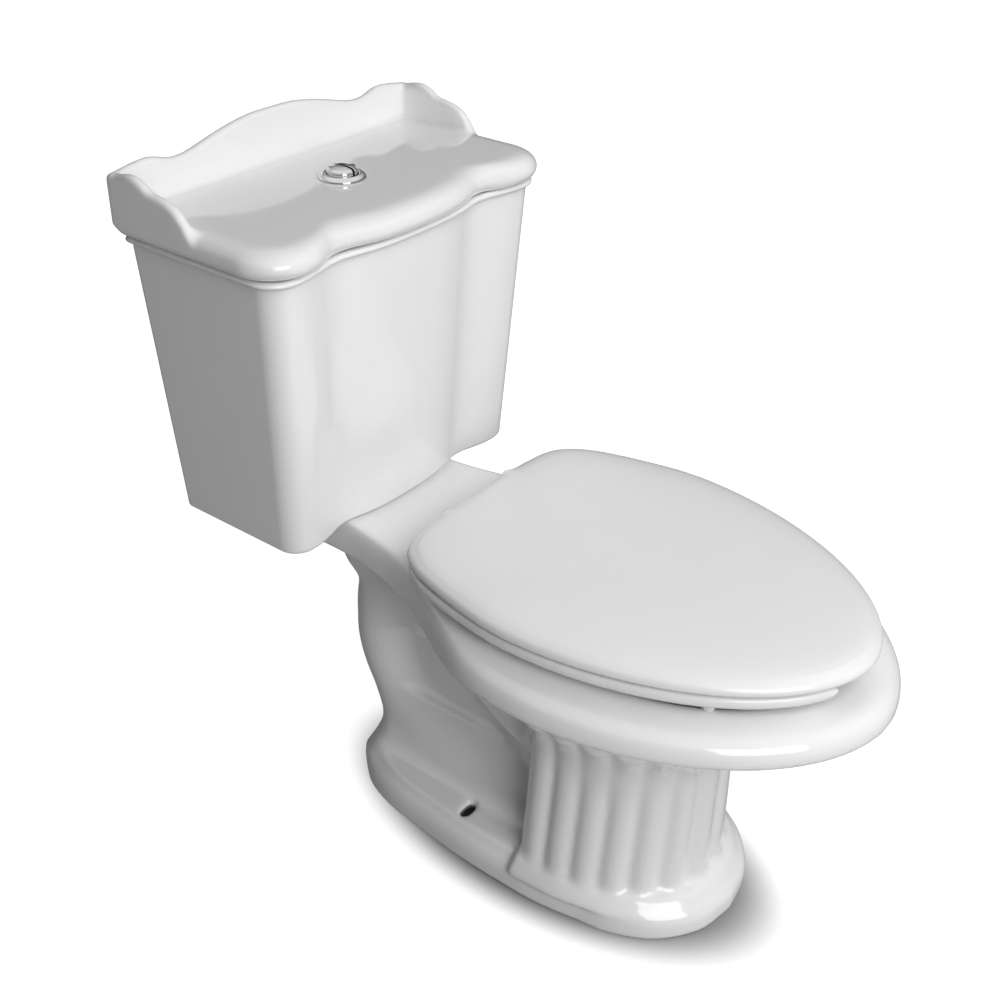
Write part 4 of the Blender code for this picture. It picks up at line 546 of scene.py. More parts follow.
def grow_tree(
    name: str, tree: Tree, shape: Socket, sizes: Sizes, surface: bpy.types.Material
) -> bpy.types.Object:
    """Ends a geometry tree, runs it and keeps its result as a plain mesh object.

    Args:
        name: The piece's name.
        tree: The tree, all but its end.
        shape: The socket with its geometry.
        sizes: A value for each named input.
        surface: The material that it gets.

    Returns:
        The object, with no modifier left on it.
    """
    whole_shape = node(tree, "GeometryNodeRealizeInstances", {0: shape})
    shaded = node(tree, "GeometryNodeSetShadeSmooth", {0: whole_shape.outputs[0], "Shade Smooth": True})
    painted = node(tree, "GeometryNodeSetMaterial", {0: shaded.outputs[0], "Material": surface})
    node(tree, "NodeGroupOutput", {0: painted.outputs[0]})
    host = bpy.data.objects.new(f"{name}_host", bpy.data.meshes.new(f"{name}_host"))
    bpy.context.scene.collection.objects.link(host)
    modifier = host.modifiers.new(name, "NODES")
    modifier.node_group = tree
    for item in tree.interface.items_tree:
        if item.in_out == "INPUT" and item.name in sizes:
            modifier[item.identifier] = sizes[item.name]
    graph = bpy.context.evaluated_depsgraph_get()
    mesh = bpy.data.meshes.new_from_object(host.evaluated_get(graph))
    mesh.name = name
    bpy.data.objects.remove(host)
    made = bpy.data.objects.new(name, mesh)
    bpy.context.scene.collection.objects.link(made)
    return made


# Finishes


def linear(code: str) -> tuple[float, float, float, float]:
    """Turns an sRGB hex colour into the linear values that shaders take."""
    values = [int(code[i : i + 2], 16) / 255 for i in (1, 3, 5)]
    mixed = [v / 12.92 if v <= 0.04045 else ((v + 0.055) / 1.055) ** 2.4 for v in values]
    return (mixed[0], mixed[1], mixed[2], 1.0)


@dataclass(frozen=True)
class Finish:
    """What every finish shares: a name, the record's slot and its plain surface values.

    patch_mm is the size of its slow patches, between colour and shade and from roughness to roughness plus
    drift. grain_mm and grain_height_mm are the size and height of its small bumps.
    """

    name: str
    slot: str
    colour: str
    shade: str
    roughness: float
    drift: float
    patch_mm: float
    grain_mm: float
    grain_height_mm: float
    metallic: float = 0.0
    ior: float = 1.5
    coat: float = 0.0
    coat_roughness: float = 0.03

    def material(self) -> bpy.types.Material:
        """Builds the material once, and finds it again after that.

        Returns:
            The material.
        """
        found = bpy.data.materials.get(self.name)
        if found:
            return found
        made = bpy.data.materials.new(self.name)
        made.use_nodes = True
        tree = made.node_tree
        shader = tree.nodes["Principled BSDF"]
        shader.inputs["Metallic"].default_value = self.metallic
        shader.inputs["IOR"].default_value = self.ior
        shader.inputs["Coat Weight"].default_value = self.coat
        shader.inputs["Coat Roughness"].default_value = self.coat_roughness
        place = node(tree, "ShaderNodeTexCoord").outputs["Object"]
        # Object coordinates are metres, so a scale of one over a size gives patches of about that size
        patches = node(
            tree, "ShaderNodeTexNoise", {"Vector": place, "Scale": 1 / (self.patch_mm * MM), "Detail": 3.0}
        )
        colour = blended(tree, patches.outputs["Fac"], linear(self.colour), linear(self.shade))
        tree.links.new(colour, shader.inputs["Base Color"])
        # The noise hardly leaves 0.3 to 0.7, so that span takes the whole drift
        drift = (self.roughness, self.roughness + self.drift)
        rough = ranged(tree, patches.outputs["Fac"], (0.3, 0.7), drift)
        tree.links.new(rough, shader.inputs["Roughness"])
        self.relief(tree, place, shader)
        return made

    def relief(self, tree: Tree, place: Socket, shader: bpy.types.Node) -> None:
        """Gives the surface its grain, as bumps of a size and height in millimetres."""
        grain = node(
            tree, "ShaderNodeTexNoise", {"Vector": place, "Scale": 1 / (self.grain_mm * MM), "Detail": 2.0}
        )
        bump = node(
            tree,
            "ShaderNodeBump",
            {"Height": grain.outputs["Fac"], "Strength": 1.0, "Distance": self.grain_height_mm * MM},
        )
        tree.links.new(bump.outputs["Normal"], shader.inputs["Normal"])


@dataclass(frozen=True)
class GlazedChina(Finish):
    """Vitreous china under a clear fired glaze: white, glassy, with a faint roll and a few pin specks."""

    speck_mm: float = 26.0
    speck_colour: str = "#B9B6B0"

    def relief(self, tree: Tree, place: Socket, shader: bpy.types.Node) -> None:
        """Adds the glaze's slow roll, and pin specks that are drawn coarser than real so that they show."""
        super().relief(tree, place, shader)
        cells = node(
            tree, "ShaderNodeTexVoronoi", {"Vector": place, "Scale": 1 / (self.speck_mm * MM)}, feature="F1"
        )
        # A speck is the middle of a cell, from 0.8 to 1.4 hundredths of its size, and half hides the white
        speck = ranged(tree, cells.outputs["Distance"], (0.008, 0.014), (0.55, 0.0))
        colour = shader.inputs["Base Color"].links[0].from_socket
        specked = blended(tree, speck, colour, linear(self.speck_colour))
        tree.links.new(specked, shader.inputs["Base Color"])


# Slip-cast china under a sprayed, fired glaze: soft white with a hard clear skin that shows lamps as streaks
CHINA = GlazedChina(
    "glazed_vitreous_china", "china", "#EFEFEF", "#EAEAEA", roughness=0.07, drift=0.05,
    patch_mm=90.0, grain_mm=34.0, grain_height_mm=0.10, ior=1.52, coat=0.35,
)
# Unglazed under the foot and in the bolt slots: dull and chalky. Its grey-brown is darker than bare china:
# painted shade that makes the slots look dark
BARE_CLAY_AND_PAINTED_SHADE = Finish(
    "unglazed_clay_and_painted_shade", "china", "#8C867D", "#7C766E", roughness=0.86, drift=0.10,
    patch_mm=30.0, grain_mm=1.4, grain_height_mm=0.10, ior=1.45,
)
# Thermoset pressed in a polished mould: nearly as glossy as the china, without the glaze's depth
SEAT_PLASTIC = Finish(
    "moulded_urea_seat", "seat_plastic", "#EEEEEE", "#EBEBEB", roughness=0.16, drift=0.06,
    patch_mm=60.0, grain_mm=9.0, grain_height_mm=0.012, ior=1.54, coat=0.15,
)
# Rubber cured in a blasted mould: flat black, with a faint grain
RUBBER = Finish(
    "moulded_black_rubber", "rubber", "#1B1B1C", "#232324", roughness=0.62, drift=0.16,
    patch_mm=12.0, grain_mm=0.8, grain_height_mm=0.05, ior=1.52,
)
# The same with a white filler: matt bumpers that hardly show between two white parts
PALE_RUBBER = Finish(
    "moulded_white_rubber", "rubber", "#D9D9D8", "#D2D2D1", roughness=0.58, drift=0.14,
    patch_mm=12.0, grain_mm=0.8, grain_height_mm=0.04, ior=1.5,
)
# Brass turned from bar: yellow, its highlight blurred by tool marks
BRASS = Finish(
    "turned_brass", "brass", "#B99856", "#AD8A49", roughness=0.24, drift=0.14,
    patch_mm=8.0, grain_mm=0.6, grain_height_mm=0.012, metallic=1.0,
)
# Acetal moulded against a fine matt tool: milky, with half a gloss
WHITE_RESIN = Finish(
    "moulded_acetal", "valve_plastic", "#DFE1E3", "#D8DADC", roughness=0.34, drift=0.12,
    patch_mm=22.0, grain_mm=1.1, grain_height_mm=0.02, ior=1.48,
)
# ABS from a textured tool: grey and a little rough
GREY_RESIN = Finish(
    "moulded_grey_abs", "grey_plastic", "#62666C", "#595D63", roughness=0.38, drift=0.14,
    patch_mm=20.0, grain_mm=1.0, grain_height_mm=0.02,
)
# Chrome plated over a polished moulding: a mirror for the bright softbox above and the dark horizon
CHROME = Finish(
    "chrome_plate", "chrome", "#D9DADC", "#D2D3D6", roughness=0.045, drift=0.03,
    patch_mm=14.0, grain_mm=7.0, grain_height_mm=0.004, metallic=1.0,
)
# Wire drawn through a die: bright grey, its highlight softened along the coil
STEEL = Finish(
    "drawn_steel_wire", "steel", "#A9AAAD", "#9C9DA0", roughness=0.26, drift=0.12,
    patch_mm=6.0, grain_mm=0.5, grain_height_mm=0.008, metallic=1.0,
)


def fit(made: bpy.types.Object, finish: Finish, body: str, *nodes: str) -> None:
    """Dresses a finished piece and ties it to its body and to the nodes that it stands for.

    Args:
        made: The piece.
        finish: Its finish.
        body: The body that it rides on.
        nodes: The nodes that it replaces.
    """
    made.data.materials.clear()
    made.data.materials.append(finish.material())
    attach(made, body)
    if nodes:
        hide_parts(*nodes)
    LOG.info("%s: %d faces on %s", made.name, len(made.data.polygons), body)


# The bowl on its pedestal


@dataclass(frozen=True)
class Blends:
    """Radii where the bowl's shapes run into each other, and of the edges of what is taken out of it."""

    neck: float = 0.022
    web: float = 0.020
    trap: float = 0.016
    foot: float = 0.018
    reeds: float = 0.004
    column: float = 0.008
    plinth: float = 0.007
    band: float = 0.002
    cavity: float = 0.003
    mouth: float = 0.007
    hollow: float = 0.003
    waterway: float = 0.002
    slot: float = 0.001


@dataclass
class Bowl:
    """The bowl, its reeded column, its plinth and its trapway, cast as one piece.

    Its tables hold shares of the sizes beside them. Core and spread go by heights in metres instead, with a
    share of the column's size.
    """

    step: float = 0.0032
    part_height: float = 0.240
    rim_half_width: float = 0.201
    rim_centre: float = 0.509
    rim_front: float = 0.788
    rim_power: float = 1.88
    flare: float = 0.012
    deck_rear: float = 0.018
    deck_half_width: float = 0.092
    deck_corner: float = 0.020
    deck_share: float = 0.25
    blends: Blends = Blends()
    reeds: int = 14
    reeds_in_front: int = 12
    curl_start: float = 0.70
    curl_power: float = 2.2
    column_centre: float = 0.488
    column_rear: float = 0.452
    core_half_width: float = 0.116
    core_reach: float = 0.150
    core: Rows = (
        (0.03, 1.12), (0.046, 1.04), (0.054, 0.97), (0.07, 0.94), (0.2, 0.94), (0.222, 0.95),
        (0.242, 0.99), (0.262, 1.06),
    )
    spread: Rows = ((0.030, 1.075), (0.056, 1.045), (0.130, 0.975), (0.205, 0.906), (0.262, 0.895))
    outlet: float = 0.365
    crown: float = 0.272
    band_profile: Rows = (
        (0.0, 0.9), (0.025, 0.97), (0.07, 1.0), (0.3, 1.0), (0.48, 0.95), (0.64, 0.82), (0.77, 0.58),
        (0.87, 0.24), (0.935, -0.12), (0.975, -0.55), (1.0, -1.1),
    )
    band_rise: float = 0.0140
    band_rise_start: float = 0.330
    band_rise_length: float = 0.140
    waist: Rows = (
        (0.28, 0.0), (0.36, 0.02), (0.43, 0.075), (0.5, 0.15), (0.58, 0.29), (0.66, 0.48), (0.75, 0.71),
        (0.82, 0.865), (0.88, 0.945), (0.94, 0.985), (1.0, 1.0),
    )
    under: Rows = (
        (-0.09, 0.89, 0.91, 0.64), (0.02, 0.88, 0.89, 0.65), (0.06, 0.82, 0.815, 0.662),
        (0.1, 0.735, 0.73, 0.675), (0.14, 0.665, 0.65, 0.69), (0.21, 0.59, 0.54, 0.72),
        (0.275, 0.54, 0.46, 0.745), (0.3, 0.52, 0.44, 0.757), (0.42, 0.5, 0.415, 0.77),
        (0.58, 0.43, 0.345, 0.79), (0.76, 0.35, 0.235, 0.825),
    )
    cavity: Rows = (
        (-0.03, 0.76, 0.825, 0.72), (0.01, 0.75, 0.812, 0.731), (0.06, 0.7, 0.745, 0.738),
        (0.1, 0.635, 0.665, 0.744), (0.14, 0.572, 0.58, 0.75), (0.21, 0.5, 0.455, 0.76),
        (0.32, 0.45, 0.39, 0.776), (0.48, 0.39, 0.33, 0.81), (0.59, 0.335, 0.255, 0.845),
        (0.67, 0.25, 0.195, 0.894), (0.725, 0.17, 0.12, 0.933),
    )
    trap: Rows = (
        (1.29, 0.55), (1.12, 0.59), (0.96, 0.72), (0.82, 0.89), (0.68, 0.985), (0.56, 0.955),
        (0.497, 0.85), (0.481, 0.725), (0.49, 0.61), (0.53, 0.48), (0.6, 0.375), (0.74, 0.29),
        (0.9, 0.215), (1.0, 0.1),
    )
    foot: Rows = (
        (0.085, 0.49, 1.667), (0.125, 0.5, 1.433), (0.165, 0.505, 1.2), (0.215, 0.496, 1.03),
        (0.27, 0.484, 0.92), (0.33, 0.48, 0.83),
    )
    neck: Rows = (
        (0.585, 0.405, 0.82), (0.64, 0.4, 0.88), (0.697, 0.392, 0.9), (0.755, 0.335, 0.92),
        (0.82, 0.319, 0.94), (0.89, 0.31, 0.95),
    )
    block_half_width: float = 0.060
    block_front: float = 0.455
    neck_corner: float = 0.030
    foot_corner: float = 0.034
    web_half_width: float = 0.034
    web_rear: float = 0.200
    web_bottom: float = 0.060
    trap_half_width: float = 0.060
    trap_half_height: float = 0.046
    waterway_radius: float = 0.030
    waterway_end: float = -0.020
    mouth: tuple[float, float, float, float] = (0.142, 0.732, 0.388, 0.545)
    mouth_bottom: float = 0.326
    above: float = 0.420
    boss_radius: float = 0.050
    boss_top: float = 0.060
    below: float = -0.060
    plinth_wall: float = 0.030
    plinth_ceiling: float = 0.034
    slot_across: float = 0.098
    slot_depth: float = 0.364
    slot_radius: float = 0.0055
    slot_reach: float = 0.007
    slot_top: float = 0.080
    bare_shade_reach: float = 0.0045
    bare_shade_top: float = 0.041
    bare_shade_foot: float = 0.0015
    plinth_half_width: float = 0.134
    plinth_rear_half_width: float = 0.074
    plinth_rear: float = 0.176
    plinth_centre: float = 0.440
    plinth_reach: float = 0.229
    plinth_height: float = 0.046
    plinth_taper: float = 0.016
    plinth_profile: Rows = (
        (0.0, 0.2), (0.05, 0.04), (0.12, 0.0), (0.46, 0.0), (0.62, 0.12), (0.74, 0.4), (0.8, 0.62),
        (0.86, 0.8), (0.94, 0.96), (1.0, 1.3),
    )
    plinth_front: Rows = (
        (0.0, 1.0), (0.14, 0.998), (0.3, 0.97), (0.44, 0.925), (0.59, 0.88), (0.74, 0.77), (0.84, 0.64),
        (0.92, 0.47), (0.97, 0.3), (1.0, 0.0),
    )
    plinth_flank: Rows = (
        (0.0, 0.0), (0.07, 0.28), (0.16, 0.56), (0.32, 0.78), (0.55, 0.9), (0.8, 0.99), (1.0, 1.0),
    )

    def rim_plan(self, flare: float) -> Plan:
        """Plan of rim and deck.

        Args:
            flare: Growth at the rim, of which the deck gets its share.

        Returns:
            The closed plan.
        """
        half_width = self.rim_half_width + flare
        deck = self.deck_half_width + flare * self.deck_share
        front = quarter(half_width, self.rim_centre, self.rim_front + flare, self.rim_power, 72)
        reach = self.rim_centre - self.deck_rear
        waist = [(deck + (half_width - deck) * w, self.deck_rear + reach * s) for s, w in self.waist]
        side = through(waist, 8)[::-1]
        corner = arc((deck - self.deck_corner, self.deck_rear + self.deck_corner), self.deck_corner, 0, -90)
        return whole(np.vstack([front, side[1:], corner, [(0, self.deck_rear)]]), 720)

    def band(self) -> Shell:
        """The band round rim and deck, deeper at the deck than at the rim."""
        rings = []
        for height, flare in through(self.band_profile, 5):
            ring = level(self.rim_plan(self.flare * flare), DECK_TOP)
            share = np.clip((WALL_Y - ring[:, 1] - self.band_rise_start) / self.band_rise_length, 0, 1)
            bottom = BAND_BOTTOM + self.band_rise * share * share * (3 - 2 * share)
            ring[:, 2] = bottom + (DECK_TOP - bottom) * height
            rings.append(ring)
        return loft(rings)

    def bowl_shell(self, shares: Iterable[Sequence[float]]) -> Shell:
        """The outside or the inside of the bowl below the band, from its rows of shares."""
        rings = []
        for down, width, reach, back in through(list(shares), 5):
            plan = egg(
                self.rim_half_width * width,
                self.rim_centre + (self.rim_front - self.rim_centre) * reach,
                self.rim_centre * back,
                self.rim_centre,
            )
            rings.append(level(plan, BAND_BOTTOM * (1 - down)))
        return loft(rings)

    def block(self, rows: Iterable[Sequence[float]], corner: float) -> Shell:
        """The foot or the neck that carries the trapway.

        Args:
            rows: Height, rear depth and half width as shares of deck top, outlet depth and own half width.
            corner: Radius of its rear corners.

        Returns:
            The shell.
        """
        rings = []
        for height, rear, width in through(list(rows), 5):
            half, back = self.block_half_width * width, self.outlet * rear
            turn = arc((half - corner, back + corner), corner, 0, -90)
            half_plan = np.vstack([[(0, self.block_front), (half, self.block_front)], turn, [(0, back)]])
            rings.append(level(whole(half_plan, 160), DECK_TOP * height))
        return loft(rings)

    def plinth_plan(self) -> Plan:
        """Plan of the plinth: a narrow back, its widest at the middle, and a full round front."""
        wide, narrow = self.plinth_half_width, self.plinth_rear_half_width
        rear, length = self.plinth_rear, self.plinth_centre - self.plinth_rear
        front = [(wide * w, self.plinth_centre + self.plinth_reach * s) for s, w in self.plinth_front[::-1]]
        flank = [(narrow + (wide - narrow) * w, rear + length * s) for s, w in self.plinth_flank[::-1]]
        half = through(front + flank[1:], 6)
        return whole(np.vstack([half, [(0, rear)]]), 480)

    def reeds_shell(self) -> Shell:
        """The column's reeds, repeated by a geometry tree along the column's plan.

        Returns:
            The reeds as one shell of points and triangles.
        """
        sizes: Sizes = {
            "Reeds": self.reeds,
            "Half width": 0.1030,
            "Reach": 0.1370,
            "Reed half width": 0.0173,
            "Reed half depth": 0.0140,
            "Foot": 0.040,
            "Top": 0.262,
            "Flare": 0.030,
        }
        tree, given = sized_tree("column_reeds", sizes)
        size = given.outputs
        circle = node(tree, "GeometryNodeCurvePrimitiveCircle", {"Resolution": 128, "Radius": 1.0})
        oval = vector_of(tree, size["Half width"], size["Reach"], 1.0)
        path = node(tree, "GeometryNodeTransform", {0: circle.outputs[0], "Scale": oval})
        points = node(tree, "GeometryNodePoints", {"Count": size["Reeds"]})
        index = node(tree, "GeometryNodeInputIndex")
        # The front half of the oval is its second half. One more reed stands behind it on each flank
        pitch = 0.5 / self.reeds_in_front
        share = worked(tree, "MULTIPLY_ADD", index.outputs[0], pitch, 0.5 - pitch / 2)
        sample = node(
            tree,
            "GeometryNodeSampleCurve",
            {"Curves": path.outputs[0], "Factor": worked(tree, "FRACT", share)},
            mode="FACTOR",
        )
        spread = node(
            tree, "GeometryNodeSetPosition", {0: points.outputs[0], "Position": sample.outputs["Position"]}
        )
        turn = node(
            tree,
            "FunctionNodeAlignRotationToVector",
            {"Vector": sample.outputs["Tangent"]},
            axis="X",
            pivot_axis="Z",
        )
        foot, top = vector_of(tree, z=size["Foot"]), vector_of(tree, z=size["Top"])
        stem = node(tree, "GeometryNodeCurvePrimitiveLine", {"Start": foot, "End": top})
        stem = node(tree, "GeometryNodeResampleCurve", {0: stem.outputs[0], "Count": 60})
        along = node(tree, "GeometryNodeSplineParameter")
        bend = ranged(tree, along.outputs["Factor"], (self.curl_start, 1.0), (0.0, 1.0))
        lean = worked(tree, "MULTIPLY", worked(tree, "POWER", bend, self.curl_power), size["Flare"])
        # Outward is against the Y axis of a reed, whose X axis follows the oval
        shift = vector_of(tree, y=worked(tree, "MULTIPLY", lean, -1.0))
        stem = node(tree, "GeometryNodeSetPosition", {0: stem.outputs[0], "Offset": shift})
        section = node(tree, "GeometryNodeCurvePrimitiveCircle", {"Resolution": 32, "Radius": 1.0})
        squeeze = vector_of(tree, size["Reed half width"], size["Reed half depth"], 1.0)
        section = node(tree, "GeometryNodeTransform", {0: section.outputs[0], "Scale": squeeze})
        reed = node(
            tree,
            "GeometryNodeCurveToMesh",
            {"Curve": stem.outputs[0], "Profile Curve": section.outputs[0], "Fill Caps": True},
        )
        row = node(
            tree,
            "GeometryNodeInstanceOnPoints",
            {"Points": spread.outputs[0], "Instance": reed.outputs[0], "Rotation": turn.outputs[0]},
        )
        made = grow_tree("column_reeds", tree, row.outputs[0], sizes, CHINA.material())
        mesh = made.data
        mesh.calc_loop_triangles()
        places = np.array([vert.co for vert in mesh.vertices], float) + (0, WALL_Y - self.column_centre, 0)
        places[:, 0] *= np.interp(places[:, 2], *zip(*self.spread))
        faces = np.array([list(tri.vertices) for tri in mesh.loop_triangles])
        bpy.data.objects.remove(made)
        return places, faces

    def column_core(self) -> Shell:
        """The column behind its reeds, with a wide foot and a coved top."""
        rings = []
        for height, size in through(self.core, 4):
            wide = self.core_half_width * size * np.interp(height, *zip(*self.spread))
            front = quarter(wide, self.column_centre, self.column_centre + self.core_reach * size)
            half = np.vstack([front, [(wide, self.column_rear), (0, self.column_rear)]])
            rings.append(level(whole(half, 240), height))
        return loft(rings)

    def column(self, field: Field) -> np.ndarray:
        """Distances to the reeded column, cut off behind."""
        column = joined(field.of(self.column_core()), field.of(self.reeds_shell()), self.blends.reeds)
        return np.maximum(column, field.axis(1) - (WALL_Y - self.column_rear))

    def outside(self, field: Field, trap: np.ndarray) -> np.ndarray:
        """Distances to the whole casting before anything is taken out of it.

        Args:
            field: The grid.
            trap: The trapway's middle line.

        Returns:
            The distances.
        """
        rear, front, low, wide = self.web_rear, self.block_front, self.web_bottom, self.web_half_width
        web = cross_block([(rear, low), (rear, self.crown), (front, self.crown), (front, low)], -wide, wide)
        plinth = loft([
            level(grown(self.plinth_plan(), -self.plinth_taper * inward), self.plinth_height * height)
            for height, inward in through(self.plinth_profile, 5)
        ])
        bowl = field.of(self.bowl_shell(self.under))
        for shell, blend in (
            (self.block(self.neck, self.neck_corner), self.blends.neck),
            (web, self.blends.web),
            (pipe(trap, self.trap_half_width, self.trap_half_height), self.blends.trap),
            (self.block(self.foot, self.foot_corner), self.blends.foot),
        ):
            bowl = joined(bowl, field.of(shell), blend)
        bowl = joined(bowl, self.column(field), self.blends.column)
        bowl = joined(bowl, field.of(plinth), self.blends.plinth)
        return joined(bowl, field.of(self.band()), self.blends.band)

    def underside(self, field: Field) -> np.ndarray:
        """Distances to the hollow in the plinth, round the outlet's boss, before the bolt slots are added."""
        boss = [
            (0, self.below), (self.boss_radius, self.below), (self.boss_radius, self.boss_top),
            (0, self.boss_top),
        ]
        room = prism(grown(self.plinth_plan(), -self.plinth_wall), self.below, self.plinth_ceiling)
        return cleared(field.of(room), field.of(turned(boss, spot(0, self.outlet, 0))))

    def bolt_slot(self, side: Side) -> Shell:
        """A slot for a floor bolt, long across, from under the floor to over the plinth."""
        across = side.value * self.slot_across
        outline = np.vstack([
            arc((across + self.slot_reach, self.slot_depth), self.slot_radius, -90, 90),
            arc((across - self.slot_reach, self.slot_depth), self.slot_radius, 90, 270),
        ])
        return prism(outline, self.below, self.slot_top)

    def build(self) -> None:
        """Casts the whole bowl in one field, then parts it out of sight and dresses both pieces."""
        field = Field(low=(-0.214, -0.401, -0.001), high=(0.214, 0.384, 0.377), step=self.step)
        trap = through([(self.outlet * u, self.crown * z) for u, z in self.trap], 6)
        drained = np.vstack([trap, [(trap[-1][0], self.waterway_end)]])
        water = pipe(drained, self.waterway_radius, self.waterway_radius)
        mouth = prism(egg(*self.mouth), self.mouth_bottom, self.above)
        bowl = self.outside(field, trap)
        bowl = cleared(bowl, field.of(self.bowl_shell(self.cavity)), self.blends.cavity)
        bowl = cleared(bowl, field.of(mouth), self.blends.mouth)
        bare = self.underside(field)
        bowl = cleared(bowl, bare, self.blends.hollow)
        bowl = cleared(bowl, field.of(water), self.blends.waterway)
        for side in Side:
            slot = field.of(self.bolt_slot(side))
            bowl = cleared(bowl, slot, self.blends.slot)
            bare = np.minimum(bare, slot)
        bowl = np.maximum(bowl, -field.axis(2))
        points, faces = field.skin(bowl, 1)
        centre = points[faces].mean(axis=1)
        place = np.rint((centre - field.corner) / field.step).astype(int)
        # Faces near the hollow and slots, and the very bottom, get bare clay, its dark tone painted shade
        near = (bare[tuple(place.T)] < self.bare_shade_reach) & (centre[:, 2] < self.bare_shade_top)
        bare_or_painted_shade = near | (centre[:, 2] < self.bare_shade_foot)
        for piece in split_at("bowl", points, faces, self.part_height, bare_or_painted_shade):
            marks = np.empty(len(piece.data.polygons), np.int32)
            piece.data.polygons.foreach_get("material_index", marks)
            fit(piece, CHINA, "body", "bowl")
            # The second material, bare clay whose dark tone is painted shade in the slots
            piece.data.materials.append(BARE_CLAY_AND_PAINTED_SHADE.material())
            piece.data.polygons.foreach_set("material_index", marks)


# The tank and its lid


@dataclass(frozen=True)
class Serpentine:
    """The plan that tank and lid share: a bow between two lobes in front, and a flat back.

    The wave's rows are shares of the half width and of the dip behind the lobes.
    """

    dip: float = 0.015
    wave: Rows = (
        (0.0, -0.12), (0.15, -0.04), (0.27, 0.2), (0.37, 0.58), (0.44, 0.9), (0.51, 1.0), (0.575, 0.9),
        (0.64, 0.48), (0.71, 0.12), (0.78, 0.0),
    )

    def plan(
        self, half_width: float, front: float, rear: float, corner: float, rear_corner: float, grow: float
    ) -> Plan:
        """The closed plan.

        Args:
            half_width: Half of its width.
            front: Depth of the lobes.
            rear: Depth of the back.
            corner: Radius of the front corners.
            rear_corner: Radius of the rear corners.
            grow: Growth all round.

        Returns:
            Its points.
        """
        half_width, front, rear, corner = half_width + grow, front + grow, rear - grow, corner + grow
        rear_corner = max(rear_corner + grow, rear_corner / 4)
        wave = through([(half_width * x, front - self.dip * dip) for x, dip in self.wave], 8)
        turn = arc((half_width - corner, front - corner), corner, 90, 0, 14)
        back = arc((half_width - rear_corner, rear + rear_corner), rear_corner, 0, -90)
        return whole(np.vstack([wave[:-1], turn, back, [(0, rear)]]), 640)


@dataclass
class Tank:
    """The tank: a flaring box with a serpentine front and a beaded lip.

    The lip's rows are heights from the top and growth of the plan, in metres.
    """

    base: float = 0.3763
    height: float = 0.3314
    lift: float = 0.0014
    shape: Serpentine = Serpentine(
        dip=0.010,
        wave=(
            (0.0, -0.12), (0.15, -0.06), (0.27, 0.12), (0.37, 0.45), (0.45, 0.82), (0.52, 1.0), (0.6, 0.88),
            (0.68, 0.5), (0.76, 0.15), (0.82, 0.0),
        ),
    )
    base_half_width: float = 0.186
    half_width_gain: float = 0.021
    base_front: float = 0.197
    front_gain: float = 0.017
    base_rear: float = 0.021
    rear_loss: float = 0.014
    corner: float = 0.026
    rear_corner: float = 0.006
    rounding: float = 0.006
    wall: float = 0.010
    bottom: float = 0.013
    inner_rounding: float = 0.010
    side_start: float = 0.0075
    floor_inset: float = 0.030
    inner_floor_inset: float = 0.034
    lip: Rows = (
        (-0.026, 0.0), (-0.01, 0.0), (-0.0084, 0.0004), (-0.0073, 0.0016), (-0.0065, 0.0032),
        (-0.0057, 0.0046), (-0.0047, 0.0056), (-0.0037, 0.006), (-0.0026, 0.006), (-0.0016, 0.0052),
        (-0.0006, 0.0032), (0.0, 0.0004), (0.0, 0.0), (0.0, -0.008), (-0.0006, -0.0094), (-0.002, -0.01),
    )

    def plan(self, height: float, grow: float) -> Plan:
        """Plan of the tank at a height, grown all round."""
        share = (height - self.base) / self.height
        return self.shape.plan(
            self.base_half_width + self.half_width_gain * share,
            self.base_front + self.front_gain * share,
            self.base_rear - self.rear_loss * share,
            self.corner,
            self.rear_corner,
            grow,
        )

    def build(self) -> None:
        """Makes the tank as one skin from its floor up the outside and down the inside."""
        top = self.base + self.height
        foot, floor = self.base + self.lift, self.base + self.bottom
        rows: list[tuple[float, float]] = [(foot, -self.floor_inset)]
        for turn in np.linspace(0, math.pi / 2, 9):
            rows.append((foot + self.rounding * (1 - math.cos(turn)), self.rounding * (math.sin(turn) - 1)))
        low, high = self.base + self.side_start, top + self.lip[0][0]
        rows += [(low + (high - low) * k / 24, 0.0) for k in range(1, 25)]
        rows += [(top + rise, out) for rise, out in self.lip[1:]]
        high, low = top + self.lip[-1][0], floor + self.inner_rounding
        rows += [(high + (low - high) * k / 12, -self.wall) for k in range(1, 13)]
        for turn in np.linspace(0, math.pi / 2, 7)[1:]:
            rise, inward = 1 - math.sin(turn), 1 - math.cos(turn)
            rows.append((floor + self.inner_rounding * rise, -self.wall - self.inner_rounding * inward))
        rows.append((floor, -self.inner_floor_inset))
        points, faces = loft([level(self.plan(z, grow), z) for z, grow in rows])
        fit(mesh_object("tank_shell", points, faces), CHINA, "body", "tank")


